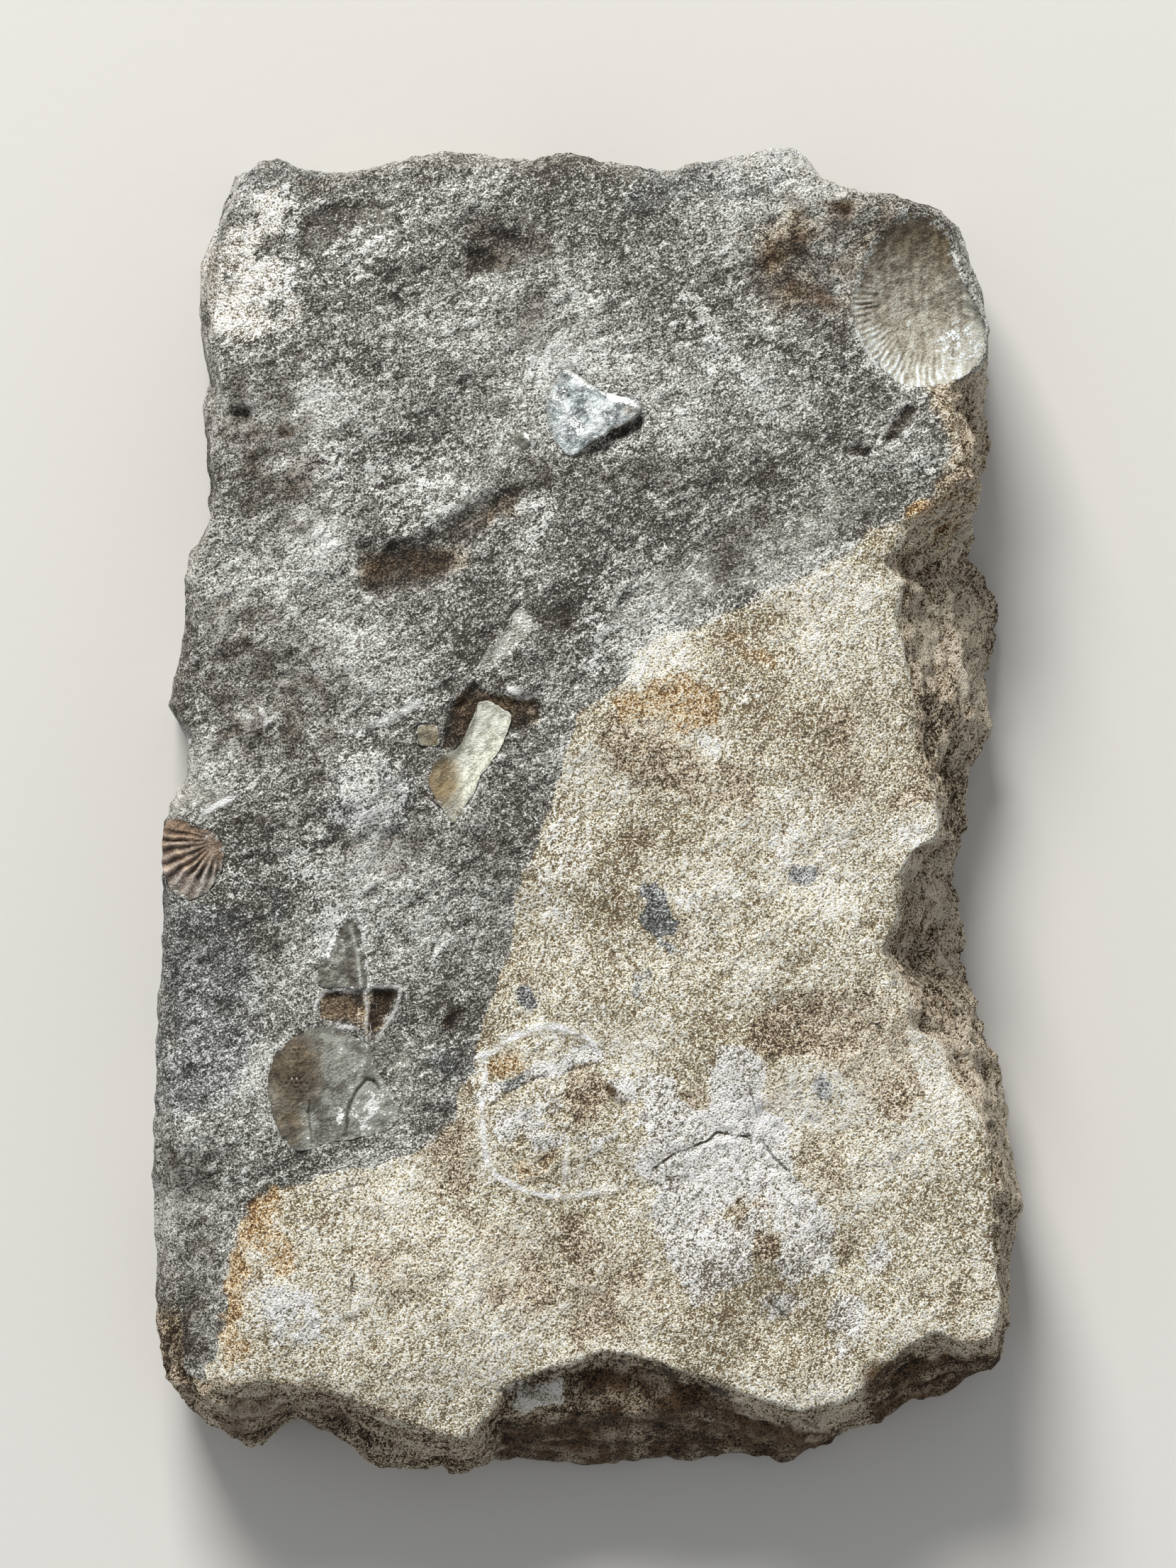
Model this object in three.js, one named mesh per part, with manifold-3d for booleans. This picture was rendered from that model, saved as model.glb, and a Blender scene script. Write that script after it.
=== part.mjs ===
/**
 * Slab of fossil-bearing rock with shells and pieces of trilobite set in its upper face.
 *
 * Millimetres, +Z up. The slab lies on the plane z = 0 with its upper face up; x runs across it and
 * y along it. Seen from above it is a rough rectangle. Its left and back sides fall steeply, its
 * right and front sides are broken flanks that slope out under the rim of the upper face.
 */
import * as THREE from "three";
import { mergeVertices } from "three/addons/utils/BufferGeometryUtils.js";
import Module from "manifold-3d";

const wasm = await Module();
wasm.setup();

// ---------------------------------------------------------------- driving dimensions, mm
const TOP = 29;             // mean height of the upper face over the resting plane
const FOOT_INSET = 1.6;     // how far the foot draws in under the widest line of the sides
const POCKET_GAP = 0.3;     // clearance round a fossil in its pocket
const POCKET_FLOOR = 0.5;   // clearance under a fossil, which also covers its facets' sag
const CUT_HEIGHT = 14;      // how far the cutting bodies stand over the upper face
const CELLS_ACROSS = 35;    // facets across the upper face
const CELLS_ALONG = 55;     // facets along the upper face
const LONG_LUMP = 24;       // wavelength of the broad lumps
const LONG_LUMP_RISE = 1.1;
const SHORT_LUMP = 9;       // wavelength of the hummocks
const SHORT_LUMP_RISE = 0.8;
const FLANK_JITTER = 1.1;   // how far the flank's facets wander
const FLANK_LUMP = 3;       // stations from one flank lump to the next

/*
 * The four sides. outline is the widest line of the stone seen from above and rim is the edge of the
 * upper face, both as [x, y]. profile rows are [t, f1, d1, f2, d2, z]: at the share t of the side,
 * the section drops d1 below the rim at the share f1 of the way out, d2 at f2, and meets the widest
 * line at height z.
 */
const BACK = {
  outline: [[-50, 89.8], [-46.5, 91.3], [-43.5, 91.6], [-41, 90.4], [-36, 89.7], [-31, 90.4],
    [-25.5, 92.6], [-18, 93], [-8, 91.8], [-3, 92.8], [5, 90.8], [12, 90.1], [14, 91.4], [24.5, 92.7],
    [28.5, 93.2], [30.5, 92.2], [33, 89.2], [37, 87.6], [45, 86.2], [47.5, 84.9], [52.2, 82.3]],
  rim: [[-48.5, 87.3], [-44, 88.6], [-37, 86.8], [-25, 89.4], [-17, 90], [-8, 89.2], [-3, 90],
    [11, 87.6], [19, 89], [28, 90.4], [32, 87], [44.5, 84.8], [50.6, 81.6]],
  profile: [[0, 0.5, 1.3, 0.85, 4.5, 15], [0.5, 0.5, 1, 0.85, 4, 17], [1, 0.5, 1.5, 0.85, 5, 17]],
};
const RIGHT = {
  outline: [[52.2, 82.3], [54.1, 76], [57, 68], [56.2, 62], [55.7, 56], [56.8, 51.5], [55, 47],
    [53.5, 36], [55.6, 33], [57, 29.5], [57.5, 25], [55.8, 19.5], [57, 12.5], [55.5, 8.8],
    [53.5, 5.3], [53, 0], [51, -10], [52.3, -14.5], [52.3, -21.5], [54.3, -26], [56, -32.3],
    [57.6, -35], [59.2, -39.5], [58.6, -42.8], [60.8, -55.5], [59.6, -61.5], [59.3, -72], [58.2, -77.3]],
  rim: [[50.6, 81.6], [52.6, 75.5], [55.4, 69], [54.6, 63], [50.6, 59.5], [52.4, 51], [52.8, 46.5],
    [48, 42.8], [44, 40.4], [42, 34.5], [43.7, 30.8], [43, 27], [45, 17], [45.6, 9], [48.8, 3],
    [49.3, -3.5], [45.5, -5.8], [43.5, -9], [43.4, -14.5], [41.3, -19.8], [44.6, -26.2],
    [45.2, -30.7], [48.6, -32.3], [50.1, -36.8], [54.3, -42.5], [57, -53], [56.9, -61], [58, -69],
    [56.8, -74.4]],
  profile: [[0, 0.5, 2, 0.85, 6, 17], [0.11, 0.4, 2, 0.8, 6, 17], [0.16, 0.3, 6, 0.7, 12, 10],
    [0.23, 0.3, 5, 0.7, 13, 9], [0.26, 0.35, 4, 0.7, 12, 8], [0.31, 0.3, 9, 0.58, 12, 5],
    [0.38, 0.3, 9, 0.6, 11.5, 6], [0.42, 0.35, 6, 0.7, 12, 8], [0.48, 0.3, 5, 0.7, 12, 10],
    [0.52, 0.35, 8, 0.7, 15, 8], [0.57, 0.3, 11, 0.7, 17, 6], [0.66, 0.3, 10, 0.65, 15, 7],
    [0.72, 0.3, 6, 0.65, 12, 8], [0.78, 0.35, 6, 0.7, 13, 8], [0.9, 0.3, 6, 0.7, 14, 9],
    [1, 0.4, 5, 0.8, 12, 9]],
};
const FRONT = {
  outline: [[-59.5, -80.2], [-56.5, -84], [-52.5, -87.5], [-48, -89.9], [-46, -89.6], [-43.5, -87.2],
    [-41.5, -86.3], [-37, -87.7], [-34.5, -89.5], [-31, -92], [-27, -93], [-20.7, -92.6], [-19, -94],
    [-17, -93.6], [-14, -92.2], [-9, -92], [2, -93.1], [10, -92.1], [26, -91.6], [29, -92.2],
    [33.5, -90], [36.5, -88.2], [41.5, -86.8], [46.5, -83.6], [50.5, -82.6], [54.5, -80],
    [57.2, -79], [58.2, -77.3]],
  rim: [[-56.5, -79.3], [-51, -81.5], [-46, -80.2], [-35, -82.5], [-30, -84.5], [-22, -87.6],
    [-18.5, -88.7], [-16, -87.6], [-14.5, -84.6], [-11.5, -81], [-5, -78.4], [2, -76.2], [8, -77],
    [16, -79.8], [22, -82], [30, -84.7], [35, -83.7], [38.5, -81.5], [45, -75.5], [49, -73.7],
    [53, -75], [56.8, -74.4]],
  profile: [[0, 0.5, 2.5, 0.85, 7, 13], [0.1, 0.3, 4, 0.7, 10, 10], [0.16, 0.3, 7, 0.7, 13, 8],
    [0.24, 0.35, 8, 0.8, 11, 10], [0.33, 0.35, 8, 0.85, 10, 12], [0.375, 0.4, 3, 0.85, 8, 10],
    [0.4, 0.1, 3.5, 0.45, 6, 5], [0.52, 0.08, 3.5, 0.5, 6.5, 4], [0.62, 0.12, 3.5, 0.42, 7, 4],
    [0.68, 0.2, 6, 0.5, 13, 4], [0.78, 0.15, 4, 0.35, 6, 5], [0.84, 0.3, 8, 0.65, 15, 6],
    [0.94, 0.3, 7, 0.7, 14, 8], [1, 0.4, 5, 0.8, 12, 9]],
};
const LEFT = {
  outline: [[-59.5, -80.2], [-59.8, -75], [-60.5, -62], [-61, -57.5], [-60.9, -40], [-60.2, -20],
    [-59.4, -8], [-59.6, -2], [-58.3, 0.4], [-56.1, 4.5], [-56, 9.5], [-59, 14.7], [-58.6, 18],
    [-56.7, 27.3], [-56.5, 32.5], [-56, 36], [-53.1, 41.6], [-53.5, 47], [-54.2, 52], [-54.3, 57],
    [-53.5, 60], [-55, 70], [-54.7, 77], [-52.4, 82.3], [-50, 89.8]],
  rim: [[-56.5, -79.3], [-57.2, -70], [-58.1, -55], [-57.8, -30], [-57, -14], [-57, -3],
    [-53.9, 5.5], [-54.3, 11], [-56.3, 15], [-55.4, 21], [-53.9, 33], [-50.9, 42], [-51.4, 50],
    [-51.3, 58], [-52.5, 70], [-51.6, 78], [-48.5, 87.3]],
  profile: [[0, 0.5, 2.5, 0.85, 7, 13], [0.3, 0.5, 1.5, 0.85, 5, 14], [0.6, 0.5, 1.2, 0.85, 4, 15],
    [1, 0.5, 1.3, 0.85, 4.5, 15]],
};

/* Swells and hollows of the upper face: centre x, y, half sizes, turn in degrees, height. */
const SWELLS = {
  smooth_plateau: [-22, 45.2, 10, 6.5, -15, 1.1],
  pale_lump: [-31, 2.5, 8, 7, 20, 1.6],
  hollow_under_lump: [-26, -6.5, 8, 4.5, 0, -1],
  round_boss: [-47.6, 12.6, 3.2, 3.2, 0, 0.9],
  broad_hollow: [-40, 16, 9, 7.5, 0, -1.4],
  hollow_by_pits: [-12, 81.5, 9, 6, 0, -1.1],
  hollow_by_valve: [28, 74, 8, 6, 0, -0.9],
  rusty_hollow: [-4, 27.5, 5, 3.5, -20, -1],
  tan_dome: [-40, -66, 14, 12, 0, 1.4],
  ring_dome: [-6, -43, 11, 14, 0, 0.6],
  brown_dip: [31, -30, 12, 6, 0, -0.9],
  lavender_swell: [20, -52, 14, 16, 20, 0.6],
  right_ridge: [53, -50, 4, 11, 15, 0.9],
  mound_by_head: [-22, -36, 8, 9, 0, 0.7],
};

/* Falls of the upper face near its edges: from line to line along an axis, and how far it falls. */
const FALLS = [
  { axis: "x", from: -47, to: -61, drop: 5, alongFrom: -45, alongTo: -60 },
  { axis: "x", from: -41, to: -56, drop: 4, alongFrom: 62, alongTo: 72 },
  { axis: "y", from: 84, to: 93, drop: 2.5, alongFrom: -44, alongTo: -34 },
  { axis: "y", from: -77, to: -91, drop: 3, alongFrom: -8, alongTo: -14 },
];

/* Pits with edges: outline, depth at the centre, and how the floor climbs along x and y per mm. */
const PITS = {
  oval_imprint: [[[-41, 80.5], [-40, 83], [-37, 85], [-33, 86], [-29, 85.7], [-26.3, 84],
    [-24.8, 81], [-25.8, 78.5], [-28.5, 76.8], [-32, 75.3], [-35.5, 74.8], [-38.5, 76.4],
    [-40.6, 78.3]], 1.2, [0.02, -0.09]],
  square_pit: [[[-17.2, 79.2], [-13.6, 79], [-13.4, 75.6], [-17, 75.4]], 1.7, [0.12, -0.12]],
  slot_pit: [[[-13.2, 81.4], [-9.8, 81.3], [-9.7, 79.9], [-13, 79.8]], 1.3, [0, -0.1]],
  dark_hollow: [[[-32.5, 31.2], [-31.8, 36], [-28, 37.8], [-22, 38], [-18, 36.6], [-19, 33],
    [-24, 31], [-29, 30.4]], 1.8, [0.03, -0.27]],
  trough: [[[-21.5, 38.2], [-19, 41.2], [-14, 44.2], [-9.5, 46.2], [-8.5, 44], [-12, 41.2],
    [-16, 38.4], [-18.6, 36.9]], 1.1, [0.2, -0.25]],
  spindle_groove: [[[-9.4, 29.6], [-12, 26.2], [-14, 23.2], [-15.8, 19.8], [-13, 20.6],
    [-10.8, 22.6], [-8.8, 26], [-7.8, 28.4]], 1, [0.35, -0.3]],
  chip_recess: [[[-20.6, 8.6], [-19.8, 13.5], [-18.2, 16], [-16, 17.8], [-14.2, 16.8],
    [-10.5, 15.8], [-6, 15.9], [-6.6, 13], [-9, 11.2], [-12, 12], [-16, 11], [-18, 8.6]],
  1.5, [-0.02, 0.02]],
  head_hollow: [[[-38, -26], [-36, -25.3], [-31.9, -25.3], [-31.3, -28], [-33, -29.8],
    [-36.2, -29.5], [-38, -28.2]], 1.8, [0, -0.22]],
  head_trench: [[[-30.2, -25.3], [-26.6, -25.2], [-27.6, -27.6], [-29.3, -30.4], [-30.4, -31.6],
    [-31, -29]], 2, [0.1, -0.1]],
  edge_pit: [[[-50.2, 56.4], [-47.8, 56.3], [-47.2, 54.3], [-50.3, 54]], 1.3, [0, -0.3]],
  tail_shadow: [[[7.9, 55.6], [4, 53.6], [0.6, 51.4], [-2, 49.6], [0.4, 49.6], [3.5, 51.2],
    [6.8, 53.2]], 1.1, [0.1, -0.25]],
  hooked_groove: [[[44.8, 57.4], [46.6, 56.6], [45, 54.2], [43.6, 52], [41.6, 51.8],
    [42.8, 54.2]], 1, [0.15, -0.05]],
  dark_streak: [[[35.4, 50.6], [37.5, 51.4], [39.8, 51], [39.6, 50], [36.5, 49.8]], 0.9, [0, -0.2]],
};

/*
 * The fossils. outline is round centre and starts anywhere; rings is the number of facet rings from
 * the centre to the edge; lift(x, y, q) is the height over the upper face, q being 0 at the centre
 * and 1 at the edge.
 */
const FOSSILS = {
  striate_valve: {
    color: 0x8d8673, roughness: 0.62, center: [47, 71.5], rings: 5, thickness: 1.3,
    outline: [[43.2, 83.2], [45.5, 84.3], [48, 83.8], [49.6, 82], [50, 79], [50.6, 75.5],
      [52, 72.9], [54.5, 71.3], [56.3, 69.3], [56.4, 66.5], [55.7, 63.8], [54.8, 62.4],
      [52.5, 60.9], [49.5, 59.9], [46.5, 59.6], [43.8, 60.2], [41.8, 61.9], [40, 64],
      [38.6, 66.6], [37.3, 69.5], [37.2, 72.5], [38.2, 76], [39.5, 79.3], [41.2, 81.6]],
    lift: (x, y, q) => -0.4 - 4.6 * (1 - q * q) - 0.12 * Math.max(0, x - 51) ** 2,
  },
  ribbed_valve: {
    color: 0x776a5f, roughness: 0.6, center: [-55.5, -6.6], rings: 5, thickness: 2.2,
    outline: [[-59.6, -2], [-58, -1.3], [-55, -2.4], [-52.4, -3.6], [-51.3, -5.4], [-51.7, -8.5],
      [-53.3, -11.2], [-56, -12.6], [-58.3, -11.6], [-59.7, -9], [-60, -5.4]],
    lift: (x, y, q) => 0.5 * (1 - q * q) - 0.055 * Math.max(0, -54 - x) ** 2 + ribs(x, y),
  },
  trilobite_head: {
    color: 0x6f6a60, roughness: 0.5, center: [-36.5, -38.5], rings: 6, thickness: 2.2,
    outline: [[-34.2, -31.4], [-36.4, -30.5], [-39.2, -30.9], [-42, -32.4], [-44, -34.6],
      [-45, -37.3], [-45, -40], [-44.4, -43], [-43, -46], [-41.2, -47.8], [-39.2, -47.9],
      [-36.6, -46.9], [-34.4, -46.6], [-31.5, -46], [-28.6, -45.2], [-26.8, -43.4], [-27, -41],
      [-28.6, -38.6], [-30, -36], [-30.6, -33.6], [-32, -32.4]],
    lift: (x, y, q) => (0.35 + 1.1 * bell([-41, -37.5, 5.5, 8, 0, 1], x, y)
      + 0.9 * bell([-30.5, -42.3, 4.6, 5.4, 0, 1], x, y)) * (1 - 0.7 * q ** 4),
  },
  head_strip: {
    color: 0x7c7a72, roughness: 0.55, center: [-34.4, -21.4], rings: 3, thickness: 1.6,
    outline: [[-32.6, -15.6], [-34.6, -16.4], [-36.2, -18.2], [-37.5, -21], [-38, -24.6],
      [-34.6, -24.9], [-31.3, -24.8], [-31.6, -20]],
    lift: (x, y, q) => 0.5 - 0.35 * q + 0.05 * (-16 - y),
  },
  trilobite_tail: {
    color: 0x8f9694, roughness: 0.45, center: [0.6, 56.2], rings: 5, thickness: 2.4,
    outline: [[-3, 62.3], [0, 60.2], [2.5, 58.9], [4.4, 58.3], [6.4, 58.1], [7.5, 56.7],
      [6.9, 55.3], [3.4, 53.4], [0.4, 51.6], [-2.4, 50], [-4.6, 52], [-6, 56], [-4.8, 60.4]],
    lift: (x, y, q) => 0.25 + 1.3 * rampUp(-6, 5, x - 0.6 * (y - 56))
      + 0.6 * bell([6.1, 56.8, 1.8, 1.8, 0, 1], x, y) - 0.4 * q ** 3,
  },
  long_shell_chip: {
    color: 0xa8a28f, roughness: 0.4, center: [-17, 7], rings: 4, thickness: 1.1,
    outline: [[-15.3, 15.2], [-13.4, 15.1], [-11, 13.3], [-11.3, 11.2], [-12.5, 8.5], [-15, 5],
      [-16, 2.5], [-17.4, 0.4], [-18.8, -1.7], [-19.8, -1], [-20.8, 0.5], [-22, 2.5],
      [-22.4, 4.5], [-21.5, 6.5], [-19.8, 7.9], [-18, 9.2], [-16.7, 12], [-15.8, 14]],
    lift: (x, y, q) => 0.35 - 0.9 * (1 - q * q),
  },
  small_shell_chip: {
    color: 0x95877f, roughness: 0.45, center: [-22.6, 10.5], rings: 2, thickness: 0.9,
    outline: [[-24, 11.7], [-22.5, 12], [-21.2, 11.8], [-21, 9.3], [-22.3, 9], [-23.7, 9.4]],
    lift: () => 0.35,
  },
};
const RIB_HUB = [-50.6, -4.2];      // point the ribs of the ribbed valve fan out from
const RIB_STEP = THREE.MathUtils.degToRad(8.2);
const RIB_RISE = 0.28;
const BEAD = { at: [-9.2, 52], radius: 1.35, sunk: 0.35 };

// ---------------------------------------------------------------- relief of the upper face

/** Lattice value in -1..1 at whole numbers ix, iy. */
function lattice(ix, iy, seed) {
  let h = (Math.imul(ix, 374761393) + Math.imul(iy, 668265263) + Math.imul(seed, 974634777)) | 0;
  h = Math.imul(h ^ (h >>> 13), 1274126177);
  return (((h ^ (h >>> 16)) >>> 0) / 4294967295) * 2 - 1;
}

/** Smooth value noise in -1..1. */
function noise(x, y, seed) {
  const ix = Math.floor(x);
  const iy = Math.floor(y);
  const u = THREE.MathUtils.smoothstep(x - ix, 0, 1);
  const v = THREE.MathUtils.smoothstep(y - iy, 0, 1);
  const near = THREE.MathUtils.lerp(lattice(ix, iy, seed), lattice(ix + 1, iy, seed), u);
  const far = THREE.MathUtils.lerp(lattice(ix, iy + 1, seed), lattice(ix + 1, iy + 1, seed), u);
  return THREE.MathUtils.lerp(near, far, v);
}

/** 0 at from, 1 at to, smooth between; from may be the larger. */
function rampUp(from, to, value) {
  const t = THREE.MathUtils.clamp((value - from) / (to - from), 0, 1);
  return t * t * (3 - 2 * t);
}

/** Bell-shaped swell: its full height at the centre, nothing past its half sizes. */
function bell([cx, cy, rx, ry, turn, height], x, y) {
  const a = THREE.MathUtils.degToRad(turn);
  const u = ((x - cx) * Math.cos(a) + (y - cy) * Math.sin(a)) / rx;
  const v = ((y - cy) * Math.cos(a) - (x - cx) * Math.sin(a)) / ry;
  return height * Math.max(0, 1 - u * u - v * v) ** 1.5;
}

/** Ribs of the ribbed valve, fading towards their hub. */
function ribs(x, y) {
  const angle = Math.atan2(y - RIB_HUB[1], x - RIB_HUB[0]);
  const reach = Math.hypot(x - RIB_HUB[0], y - RIB_HUB[1]);
  return RIB_RISE * Math.cos((2 * Math.PI * angle) / RIB_STEP) * rampUp(1, 6, reach);
}

/** Height of the upper face, before pits and pockets are cut in it. */
function upperFace(x, y) {
  let z = TOP + LONG_LUMP_RISE * noise(x / LONG_LUMP, y / LONG_LUMP, 1)
    + SHORT_LUMP_RISE * noise(x / SHORT_LUMP, y / SHORT_LUMP, 2);
  for (const swell of Object.values(SWELLS)) z += bell(swell, x, y);
  for (const { axis, from, to, drop, alongFrom, alongTo } of FALLS) {
    const [value, along] = axis === "x" ? [x, y] : [y, x];
    z -= drop * rampUp(from, to, value) * rampUp(alongFrom, alongTo, along);
  }
  return z;
}

// ---------------------------------------------------------------- building blocks

/** Value at t of rows that start with t, each further column interpolated linearly. */
function interpolateRow(rows, t) {
  const found = rows.findIndex((row) => row[0] >= t);
  const next = found < 0 ? rows.length - 1 : Math.max(1, found);
  const [a, b] = [rows[next - 1], rows[next]];
  const share = (t - a[0]) / (b[0] - a[0]);
  return a.map((value, column) => THREE.MathUtils.lerp(value, b[column], share));
}

/** count + 1 points of a polyline, evenly spaced along the given axis (0 for x, 1 for y). */
function spacePoints(points, axis, count) {
  const rows = points.map((point) => [point[axis], point[1 - axis]]);
  const [first, last] = [rows[0][0], rows.at(-1)[0]];
  const rising = last > first ? rows : rows.map(([a, b]) => [-a, b]);
  return Array.from({ length: count + 1 }, (_, i) => {
    const along = THREE.MathUtils.lerp(first, last, i / count);
    const [, across] = interpolateRow(rising, last > first ? along : -along);
    return axis === 0 ? [along, across] : [across, along];
  });
}

/** Closed geometry from [x, y, z] vertices and triangles of indices. */
function makeGeometry(vertices, triangles) {
  const geometry = new THREE.BufferGeometry();
  geometry.setAttribute("position", new THREE.Float32BufferAttribute(vertices.flat(), 3));
  geometry.setIndex(triangles.flat());
  return geometry;
}

function toSolid(geometry) {
  const bare = geometry.clone();
  bare.deleteAttribute("normal");
  bare.deleteAttribute("uv");
  const merged = mergeVertices(bare, 1e-5);
  return new wasm.Manifold(new wasm.Mesh({
    numProp: 3,
    vertProperties: new Float32Array(merged.attributes.position.array),
    triVerts: new Uint32Array(merged.index.array),
  }));
}

function toGeometry(solid) {
  const { vertProperties, triVerts } = solid.getMesh();
  const geometry = new THREE.BufferGeometry();
  geometry.setAttribute("position", new THREE.Float32BufferAttribute(vertProperties, 3));
  geometry.setIndex(Array.from(triVerts));
  geometry.computeVertexNormals();
  return geometry;
}

/** Outline moved out by a distance square to its edges; counter-clockwise or clockwise alike. */
function growOutline(outline, distance) {
  const turn = Math.sign(THREE.ShapeUtils.area(outline.map(([x, y]) => new THREE.Vector2(x, y))));
  return outline.map(([x, y], i) => {
    const before = outline.at(i - 1);
    const after = outline[(i + 1) % outline.length];
    const [ux, uy] = unit(x - before[0], y - before[1]);
    const [vx, vy] = unit(after[0] - x, after[1] - y);
    const half = Math.max(0.35, (1 + ux * vx + uy * vy) / 2);
    return [x + (turn * distance * (uy + vy)) / 2 / half, y - (turn * distance * (ux + vx)) / 2 / half];
  });
}

function unit(x, y) {
  const length = Math.hypot(x, y);
  return [x / length, y / length];
}

/**
 * Closed body over rings of an outline that shrink to its centre. topHeight and bottomHeight take
 * x, y and the ring's share q, which is 0 at the centre and 1 at the outline.
 */
function makePlate(center, outline, rings, topHeight, bottomHeight) {
  const clockwise = THREE.ShapeUtils.area(outline.map(([x, y]) => new THREE.Vector2(x, y))) < 0;
  const loop = clockwise ? [...outline].reverse() : outline;
  const count = loop.length;
  const faces = [topHeight, bottomHeight];
  const vertices = [];
  for (const height of faces) {
    vertices.push([...center, height(...center, 0)]);
    for (let ring = 1; ring <= rings; ring += 1) {
      const q = ring / rings;
      for (const [x, y] of loop) {
        const px = center[0] + (x - center[0]) * q;
        const py = center[1] + (y - center[1]) * q;
        vertices.push([px, py, height(px, py, q)]);
      }
    }
  }
  const below = 1 + rings * count;
  const triangles = [];
  for (let i = 0; i < count; i += 1) {
    const j = (i + 1) % count;
    triangles.push([0, 1 + i, 1 + j], [below, below + 1 + j, below + 1 + i]);
    for (let ring = 1; ring < rings; ring += 1) {
      const a = 1 + (ring - 1) * count;
      const b = a + count;
      triangles.push([a + i, b + i, b + j], [a + i, b + j, a + j]);
      triangles.push([below + a + i, below + b + j, below + b + i],
        [below + a + i, below + a + j, below + b + j]);
    }
    const edge = 1 + (rings - 1) * count;
    triangles.push([edge + i, below + edge + i, below + edge + j],
      [edge + i, below + edge + j, edge + j]);
  }
  return makeGeometry(vertices, triangles);
}

// ---------------------------------------------------------------- the slab

/** Grid of rows of [x, y] that fills the rim's four sides. */
function fillRim(back, right, front, left) {
  const corners = [front[0], front.at(-1), back[0], back.at(-1)];
  return left.map((leftPoint, j) => {
    const t = j / CELLS_ALONG;
    return front.map((frontPoint, i) => {
      const s = i / CELLS_ACROSS;
      return [0, 1].map((k) => (1 - s) * leftPoint[k] + s * right[j][k]
        + (1 - t) * frontPoint[k] + t * back[i][k]
        - (1 - s) * (1 - t) * corners[0][k] - s * (1 - t) * corners[1][k]
        - (1 - s) * t * corners[2][k] - s * t * corners[3][k]);
    });
  });
}

/** Stations once round the slab, counter-clockwise from the front left corner. */
function walkSides() {
  const walk = (side, axis, count, reverse) => {
    const outline = spacePoints(side.outline, axis, count);
    const rim = spacePoints(side.rim, axis, count);
    const stations = rim.map((rimPoint, i) => ({
      rim: rimPoint, outline: outline[i], section: interpolateRow(side.profile, i / count).slice(1),
    }));
    return (reverse ? stations.reverse() : stations).slice(0, -1);
  };
  return [
    ...walk(FRONT, 0, CELLS_ACROSS, false),
    ...walk(RIGHT, 1, CELLS_ALONG, true),
    ...walk(BACK, 0, CELLS_ACROSS, true),
    ...walk(LEFT, 1, CELLS_ALONG, true),
  ];
}

/** One flank section: points under the rim, at the widest line and at the foot. */
function flankSection({ rim, outline, section: [f1, d1, f2, d2, widestHeight] }, station) {
  const [dx, dy] = [outline[0] - rim[0], outline[1] - rim[1]];
  const [ux, uy] = unit(dx, dy);
  const rimHeight = upperFace(...rim);
  const wander = (seed) => FLANK_JITTER * noise(station / FLANK_LUMP, seed * 0.6, 3);
  const between = (f, d, seed) => {
    const out = Math.hypot(dx, dy) * f;
    const shift = wander(seed) * Math.min(1, out / 3);
    return [rim[0] + ux * (out + shift), rim[1] + uy * (out + shift), rimHeight - d + wander(seed + 1)];
  };
  const inset = FOOT_INSET + wander(7);
  return [
    between(f1, d1, 3),
    between(f2, d2, 5),
    [outline[0], outline[1], widestHeight + 2 * wander(9)],
    [outline[0] - ux * inset, outline[1] - uy * inset, 0],
  ];
}

/** The stone with its lumps and flanks, before anything is cut in it. */
function makeRoughSlab() {
  const sides = [BACK, RIGHT, FRONT, LEFT].map((side, i) => (
    spacePoints(side.rim, i % 2, i % 2 ? CELLS_ALONG : CELLS_ACROSS)));
  const [back, right, front, left] = [sides[0], sides[1].reverse(), sides[2], sides[3]];
  const grid = fillRim(back, right, front, left);
  const vertices = grid.flat().map(([x, y]) => [x, y, upperFace(x, y)]);
  const at = (i, j) => j * (CELLS_ACROSS + 1) + i;
  const triangles = [];
  for (let j = 0; j < CELLS_ALONG; j += 1) {
    for (let i = 0; i < CELLS_ACROSS; i += 1) {
      const [a, b, c, d] = [at(i, j), at(i + 1, j), at(i + 1, j + 1), at(i, j + 1)];
      if ((i + j) % 2) triangles.push([a, b, c], [a, c, d]);
      else triangles.push([a, b, d], [b, c, d]);
    }
  }
  const rimLoop = [
    ...Array.from({ length: CELLS_ACROSS }, (_, i) => at(i, 0)),
    ...Array.from({ length: CELLS_ALONG }, (_, j) => at(CELLS_ACROSS, j)),
    ...Array.from({ length: CELLS_ACROSS }, (_, i) => at(CELLS_ACROSS - i, CELLS_ALONG)),
    ...Array.from({ length: CELLS_ALONG }, (_, j) => at(0, CELLS_ALONG - j)),
  ];
  const stations = walkSides();
  const sections = stations.map(flankSection);
  const count = stations.length;
  const rings = [rimLoop];
  for (let ring = 0; ring < sections[0].length; ring += 1) {
    rings.push(sections.map((_, k) => vertices.length + k));
    vertices.push(...sections.map((section) => section[ring]));
  }
  for (let ring = 1; ring < rings.length; ring += 1) {
    for (let k = 0; k < count; k += 1) {
      const n = (k + 1) % count;
      const [a, b, c, d] = [rings[ring - 1][k], rings[ring - 1][n], rings[ring][n], rings[ring][k]];
      triangles.push([a, d, c], [a, c, b]);
    }
  }
  const foot = rings.at(-1);
  const footLoop = foot.map((v) => new THREE.Vector2(vertices[v][0], vertices[v][1]));
  for (const [a, b, c] of THREE.ShapeUtils.triangulateShape(footLoop, [])) {
    triangles.push([foot[a], foot[c], foot[b]]);
  }
  return makeGeometry(vertices, triangles);
}

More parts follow.
